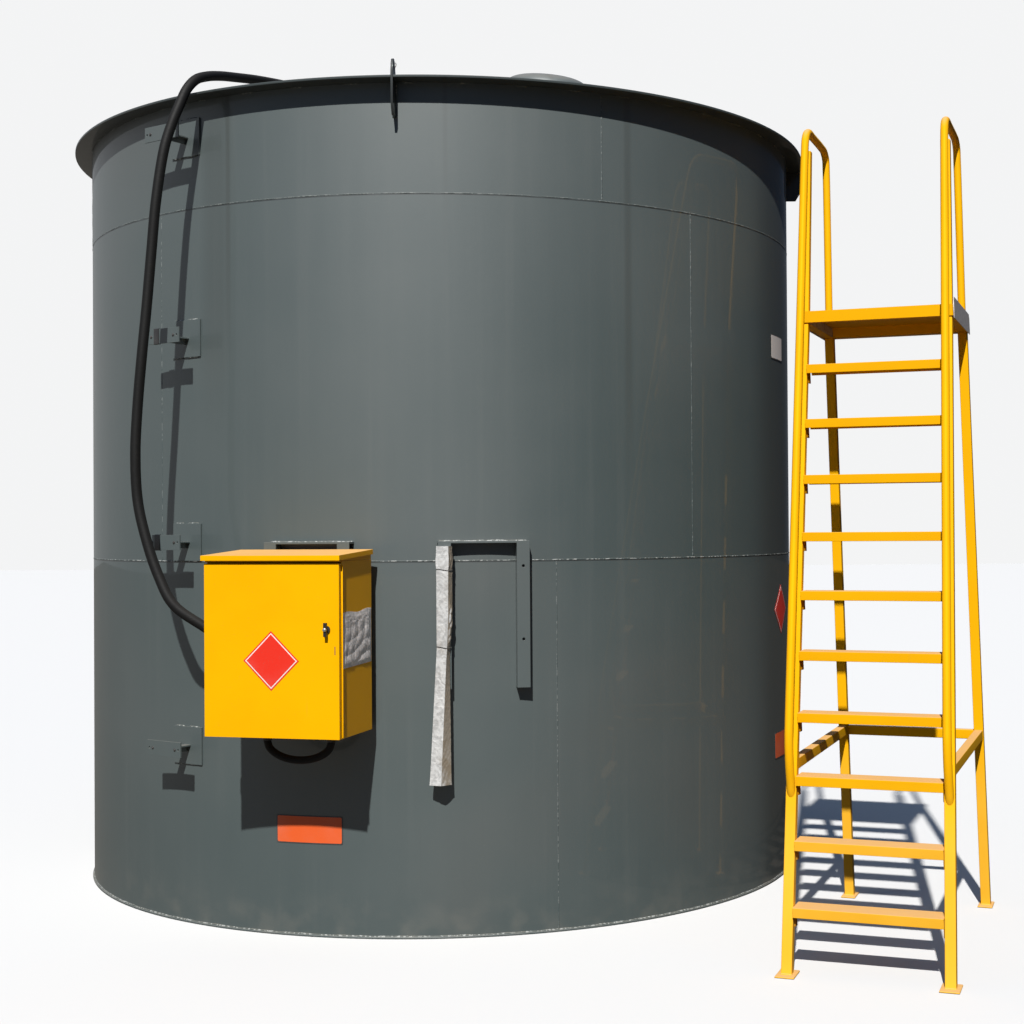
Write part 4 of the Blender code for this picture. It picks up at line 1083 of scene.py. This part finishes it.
def pouch():
    """Crumpled film pouch taped flat on the cabinet's right side.

    Over the wall's depth and height its outer face stands off by folds, each the size of a sine,
    upright ones near its top and level ones near its foot. The hem along its top lies flatter, and
    the face closes down to the wall at its four edges.
    """
    u, v = np.meshgrid(np.linspace(0.0, 1.0, 130), np.linspace(0.0, 1.0, 96), indexing="ij")
    y = POUCH_DEPTH[0] + (POUCH_DEPTH[1] - POUCH_DEPTH[0]) * u
    z = (POUCH_HEIGHT[0] + (POUCH_HEIGHT[1] - POUCH_HEIGHT[0]) * v + 0.004 * np.sin(9.0 * u) * v
         - 0.006 * (1.0 - u))
    hem = np.clip(40.0 * (v - 0.82), 0.0, 1.0)
    folds = (1.0 * (1.0 - hem) * v * np.abs(np.sin(14.0 * u + 1.2 * np.sin(7.0 * v)))
             + 1.3 * (1.0 - v) * np.abs(np.sin(13.0 * v - 2.5 * u + 0.8 * np.sin(6.0 * u)))
             + 0.5 * (1.0 - hem) * np.abs(np.sin(21.0 * u + 9.0 * v + 2.0 * np.sin(8.0 * v + 5.0 * u)))
             + 0.2 * np.abs(np.sin(38.0 * u + 17.0 * v + 2.0 * np.sin(14.0 * v))) + 0.7 * hem)
    edge = np.clip(12.0 * np.minimum(np.minimum(u, 1.0 - u), np.minimum(v, 1.0 - v)), 0.0, 1.0)
    outer = np.stack([CABINET_HALF + 0.0006 + 0.0020 * edge * folds, y, z], -1)
    ends = np.stack([np.full((len(u), 2), CABINET_HALF + 0.0001), y[:, [-1, 0]], z[:, [-1, 0]]], -1)
    return skin(np.concatenate([outer, ends], axis=1))


def build_bracket_details():
    """Bolts on each bracket's cross plate, dark straps round two of them, and wire in a lug's eye."""
    face, place = -CROSS_OUT - CROSS_T / 2, facing(BRACKET_ANGLE)
    heads = [((x, face, height), (0.0, -1.0, 0.0)) for height in BRACKET_HEIGHTS for x in (-0.066, 0.066)]
    piece_from("bracket_bolts", bolts(heads, 0.0045, 0.004), "dark_steel", place=place)
    tall = CROSS_H / 2 + STRAP_T
    straps = [block((-0.048, -0.018), (face - STRAP_T, face + CROSS_T + STRAP_T),
                    (height - tall, height + tall), 0.003) for height in BRACKET_HEIGHTS[1:3]]
    piece_from("bracket_straps", joined(straps), "rubber", place=place)
    angle = np.linspace(-0.6, 4.4, 40)
    wire = np.stack([0.002 + 0.011 * np.cos(angle) + 0.003 * angle, np.full(40, -LUG_EYE[0] - 0.004)
                     - 0.004 * np.sin(2.0 * angle), LUG_EYE[1] + 0.006 + 0.009 * np.sin(angle)], 1)
    piece_from("lug_wire", tube(turned(wire, LUG_ANGLE), 0.0014, 10, (0.0, 1.0, 0.0)), "dark_steel")


def strip_ring(z, grow):
    """Section of the wrapped strip at each height: back, left edge, left face, right face, edge.

    The whole section shifts left below the kink, where the right face is drawn in, and the foot of
    the right face flares. Each point stands off by its own depth.
    """
    low = np.clip((STRIP_KINK - z) / (STRIP_KINK - STRIP_FOOT), 0.0, 1.0)
    levels = (STRIP_FOOT, STRIP_KINK - 0.02, STRIP_KINK + 0.12, STRIP_TOP)
    ridge = np.interp(z, levels, (-0.148, -0.153, -0.147, -0.145))
    right = np.interp(z, levels, (-0.106, -0.138, -0.128, -0.128))
    left = np.full_like(z, -0.190)
    flat, near, far = np.zeros_like(z), np.full_like(z, 0.006), np.full_like(z, 0.030)
    corners = [(right, flat), (left, flat), (left, near), (ridge, far), (right, near), (right, flat)]
    sides = []
    for (x0, y0), (x1, y1), count in zip(corners, corners[1:], STRIP_COUNTS):
        share = np.arange(count) / count
        sides.append(np.stack([x0[:, None] + (x1 - x0)[:, None] * share,
                               y0[:, None] + (y1 - y0)[:, None] * share], -1))
    line = np.concatenate(sides, axis=1)
    line = line + grow[..., None] * unit(line - line.mean(axis=1, keepdims=True))
    out = -FRAME_FACE - GAP - np.maximum(line[..., 1], 0.0)
    return np.stack([line[..., 0] - STRIP_LEAN * low[:, None], out,
                     np.broadcast_to(z[:, None], grow.shape)], -1)


def build_strip():
    """Film round the angle strip on the spare frame, and the two wire ties that hold it.

    The film stands off by the sizes of crossed sines of the height and the angle: fine ones all
    over, and coarse ones in the bulge and at the foot. Bell curves place the bulge and the foot's
    flare, and others draw the film tight at the ties.
    """
    z = np.linspace(STRIP_FOOT, STRIP_TOP, 330)
    around = sum(STRIP_COUNTS)
    height, turn = np.meshgrid(z, circle(around), indexing="ij")
    fine = (np.abs(np.sin(150.0 * height + 3.0 * turn + 1.5 * np.sin(31.0 * height)))
            + np.abs(np.sin(97.0 * height - 4.0 * turn + np.sin(53.0 * height))))
    folds = (np.abs(np.sin(44.0 * height + 2.0 * turn + 1.5 * np.sin(19.0 * height)))
             + np.abs(np.sin(71.0 * height - 3.0 * turn + 1.2 * np.sin(23.0 * height + turn))))
    right = np.exp(-((turn - 0.80 * math.tau) / 0.55) ** 2)
    bulge = np.exp(-((height - 1.255) / 0.080) ** 4) * right + 0.35 * np.exp(-((height - 1.50) / 0.04) ** 2)
    foot = np.exp(-(height - STRIP_FOOT) / 0.015)
    tied = np.clip(sum(np.exp(-((height - tie) / 0.008) ** 2) for tie in STRIP_TIES_Z), 0.0, 1.0)
    grow = (0.0004 * fine + 0.0045 * bulge * folds + 0.0012 * foot * folds) * (1.0 - 0.9 * tied)
    piece_from("strip_film", skin(strip_ring(z, grow)), "film", replaces=("edge_strip",),
               place=facing(SPARE_ANGLE))
    ties = []
    for tie in STRIP_TIES_Z:
        path = strip_ring(np.array([tie]), np.full((1, around), 0.0016))[0]
        path[:, 1] -= 0.0006
        path[:, 2] += 0.003 * np.sin(circle(around))
        ties.append(tube(path, 0.0012, 8, (0.0, 0.0, 1.0), closed=True))
    piece_from("strip_ties", joined(ties), "dark_steel", place=facing(SPARE_ANGLE))


def rail_line(x):
    """Middle line of a handrail: up along the stringer, over the platform and down to its edge."""
    def ahead(z):
        return FRONT_SLOPE * z - RAIL_AHEAD

    top, foot = RAIL_TOP, RAIL_FOOT
    nose, bend = FRONT_SLOPE * foot + STEP_NOSE, ahead(top)
    route = [(nose + 0.014, foot - 0.055), (nose, foot - 0.020), (nose - 0.004, foot + 0.01),
             (ahead(foot + 0.10) + 0.024, foot + 0.10), (ahead(foot + 0.18) + 0.004, foot + 0.18),
             (ahead(foot + 0.26), foot + 0.26), (ahead(1.3), 1.3), (ahead(2.0), 2.0), (ahead(2.7), 2.7),
             (ahead(top - 0.11), top - 0.11), (bend - 0.012, top - 0.052), (bend + 0.020, top - 0.018),
             (bend + 0.065, top), (bend + 0.14, top), (RAIL_BACK - 0.12, top),
             (RAIL_BACK - 0.045, top - 0.006), (RAIL_BACK - 0.008, top - 0.034),
             (RAIL_BACK - 0.008, top - 0.085), (RAIL_POST, PLATFORM_TOP + 0.06)]
    line = smooth_line([(x, y, z) for y, z in route], 0.010)
    return np.vstack([line, (x, RAIL_POST, PLATFORM_TOP + GAP)])


def build_stair_details():
    """Round handrails, cleats under the treads in a darker yellow of painted shade, grey side plates of the
    deck and the feet's welds.
    """
    for label, side in (("left", -1), ("right", 1)):
        piece_from(f"handrail_{label}_tube", tube(rail_line(side * STAIR_HALF), RAIL_R, 20, (1.0, 0.0, 0.0)),
                   "stair", replaces=(f"handrail_{label}",), place=on_stair)
    inner = STAIR_HALF - BAR / 2 - GAP
    cleats = []
    for number in range(1, STEP_COUNT + 1):
        top = FOOT_T + number * STEP_RISE
        front = FRONT_SLOPE * top
        outline = rounded_box(front + 0.026, front + 0.058, top - STEP_LIP - 0.038, top - 0.006, 0.002, 2)
        for side in (-1, 1):
            cleats.append(slab(sorted((side * inner, side * (inner - 0.005))), outline))
    piece_from("tread_cleats", joined(cleats), "stair_shade", place=on_stair)
    edge = STAIR_HALF + BAR / 2 + 0.004
    front = FRONT_SLOPE * PLATFORM_TOP
    low, high = PLATFORM_TOP - PLATFORM_LIP - 0.006, PLATFORM_TOP + 0.034
    side_plate = [(front + 0.028, low), (PLATFORM_BACK, low), (PLATFORM_BACK, high - 0.018),
                  (PLATFORM_BACK - 0.018, high), (front + 0.046, high), (front + 0.028, high - 0.018)]
    inside = rounded_box(front + 0.022, PLATFORM_BACK - BAR, low + 0.008, PLATFORM_TOP - 0.006, 0.001)
    plates = [slab((edge + 0.0003, edge + 0.0028), side_plate),
              slab((-edge - 0.0028, -edge - 0.0003), side_plate),
              slab((-edge + BAR + 0.0003, -edge + BAR + 0.002), inside)]
    piece_from("deck_side_plates", joined(plates), "galvanized", place=on_stair)
    welds = []
    for side in (-1, 1):
        for near, far in ((STEP_NOSE, STEP_NOSE + BAR), (BACK_FOOT - BAR, BACK_FOOT)):
            x = side * STAIR_HALF
            ring = rounded_box(x - BAR / 2, x + BAR / 2, near, far, 0.003, 4)
            ring = np.vstack([ring, ring[:1]])
            path = read_at(ring, np.linspace(0.0, distances(ring)[-1], 60, endpoint=False))
            crown = np.column_stack([unit(path - (x, (near + far) / 2)), np.ones(60)]) / math.sqrt(2.0)
            path = np.column_stack([path, np.full(60, FOOT_T + 0.0005)])
            welds.append(bead(path, crown, 0.007, 0.0035, True))
    piece_from("foot_welds", joined(welds), "stair", place=on_stair)


def build_nozzle_bolts():
    """Six bolts round the nozzle's foot on the roof."""
    heads = [((0.047 * math.cos(turn), 0.047 * math.sin(turn), 0.010), (0.0, 0.0, 1.0))
             for turn in circle(6)]
    piece_from("nozzle_bolts", bolts(heads, 0.006, 0.006), "zinc",
               place=lambda points: on_roof(points, NOZZLE_AT_R, NOZZLE_ANGLE))


def build_camera():
    """Camera at the photograph's place, lens and angle."""
    data = bpy.data.cameras.new("photo_camera")
    data.sensor_width = SENSOR
    data.lens = CAMERA_FOCAL_PX * SENSOR / IMAGE_PX
    data.shift_x = -(PRINCIPAL_X_PX - IMAGE_PX / 2) / IMAGE_PX
    camera = linked("photo_camera", data)
    camera.location = CAMERA_AT
    camera.rotation_euler = (math.pi / 2 + CAMERA_PITCH, CAMERA_ROLL, 0.0)
    bpy.context.scene.camera = camera


def build_studio():
    """Pale floor, a soft key light from the photograph's sun side, and a sky that fills in."""
    floor = Finish("studio_floor", FLOOR_SEEN, 0.9, Specular_IOR_Level=0.1)
    seen = floor.node("ShaderNodeLightPath", output="Is Camera Ray")
    bounce = floor.mix(floor.axis("X", floor.place).between(0.8, 2.6), FLOOR_LEFT, FLOOR_RIGHT)
    floor.set("Base Color", floor.mix(seen, bounce, FLOOR_SEEN))
    ground = bpy.data.meshes.new("studio_floor")
    ground.from_pydata([(-60, -60, 0), (60, -60, 0), (60, 60, 0), (-60, 60, 0)], [], [(0, 1, 2, 3)])
    ground.materials.append(floor.material)
    linked("studio_floor", ground)
    sun = bpy.data.lights.new("key", "SUN")
    sun.energy = KEY_STRENGTH
    sun.angle = math.radians(KEY_SOFTNESS)
    sun.color = KEY_COLOUR
    linked("key", sun).rotation_euler = (math.radians(90.0 - SUN_HEIGHT), 0.0, math.radians(SUN_AZIMUTH))
    world = bpy.data.worlds.new("studio")
    world.use_nodes = True
    sky = Nodes(world.node_tree)
    way = sky.node("ShaderNodeTexCoord", output="Generated")
    across, back = sky.axis("X", way), sky.axis("Y", way)
    glow = sky.mix((back * 0.6 - across * 0.8).between(0.1, 0.85), SKY_FRONT, SKY_LEFT)
    glow = sky.mix(across.between(0.0, 0.6), glow, SKY_RIGHT)
    glow = sky.mix(sky.axis("Z", way).between(0.0, 0.9) * 0.7, glow, SKY_ABOVE)
    fill = sky.node("ShaderNodeBackground", values={"Color": glow})
    backdrop = sky.node("ShaderNodeBackground", values={"Color": (*BACKDROP_COLOUR, 1.0)})
    rays = sky.node("ShaderNodeLightPath", output="Is Camera Ray")
    both = sky.node("ShaderNodeMixShader", values={0: rays, 1: fill, 2: backdrop})
    sky.feed(world.node_tree.nodes["World Output"].inputs["Surface"], both)
    bpy.context.scene.world = world
    bpy.context.scene.view_settings.view_transform = "Standard"


# Each finish with the material slot that its pieces usually fill
FINISHES = {
    "tank": (tank_paint(), "tank_paint"),
    "weld": (tank_paint("weld_paint", dust_and_highlight_spots=0.75), "tank_paint"),
    "weld_faint": (tank_paint("faint_weld_paint", dust_and_highlight_spots=0.25), "tank_paint"),
    "rim": (tank_paint("rim_paint", dark=0.45), "tank_paint"),
    "dark_paint": (tank_paint("dark_paint", dark=0.75), "tank_paint"),
    "cabinet": (yellow_paint("cabinet_coat", 0.42, (0.80, 0.390, 0.001), 0.50), "cabinet_yellow"),
    "stair": (yellow_paint("stair_coat", 0.46, (0.74, 0.368, 0.003), 0.50), "stair_yellow"),
    # Darker yellow for the cleats under the treads: painted shade
    "stair_shade": (yellow_paint("cleat_painted_shade", 0.60, (0.34, 0.150, 0.004), 0.20), "stair_yellow"),
    "hose": (hose_skin(), "hose_rubber"),
    "zinc": (zinc(), "bare_steel"),
    "galvanized": (galvanized(), "bare_steel"),
    "plastic": (black_plastic(), "lock_black"),
    "film": (wrap_film("wrap_film", (0.52, 0.52, 0.515), 90.0, 0.9), "wrapped_strip"),
    "foil": (wrap_film("foil_pouch", (0.86, 0.80, 0.77), 60.0), "wrapped_strip"),
    "red": (sticker("red_vinyl", (0.68, 0.024, 0.010)), "tank_paint"),
    "orange": (sticker("orange_plate", (0.66, 0.095, 0.018)), "tank_paint"),
    "pale": (sticker("pale_vinyl", (0.72, 0.66, 0.62)), "tank_paint"),
    "primer": (sticker("scratch_primer", (0.30, 0.13, 0.03)), "cabinet_yellow"),
    "rubber": (sticker("black_rubber", (0.020, 0.019, 0.020)), "hose_rubber"),
    "dark_steel": (sticker("dark_steel", (0.045, 0.043, 0.042)), "bare_steel"),
}
build_camera()
build_hoses()
build_shell()
build_top_and_bottom()
build_hatch()
build_seam_welds()
build_fitting_welds()
build_refined()
build_labels()
build_door_details()
build_cabinet_trim()
build_fittings()
build_bracket_details()
build_strip()
build_nozzle_bolts()
build_stair_details()
build_studio()
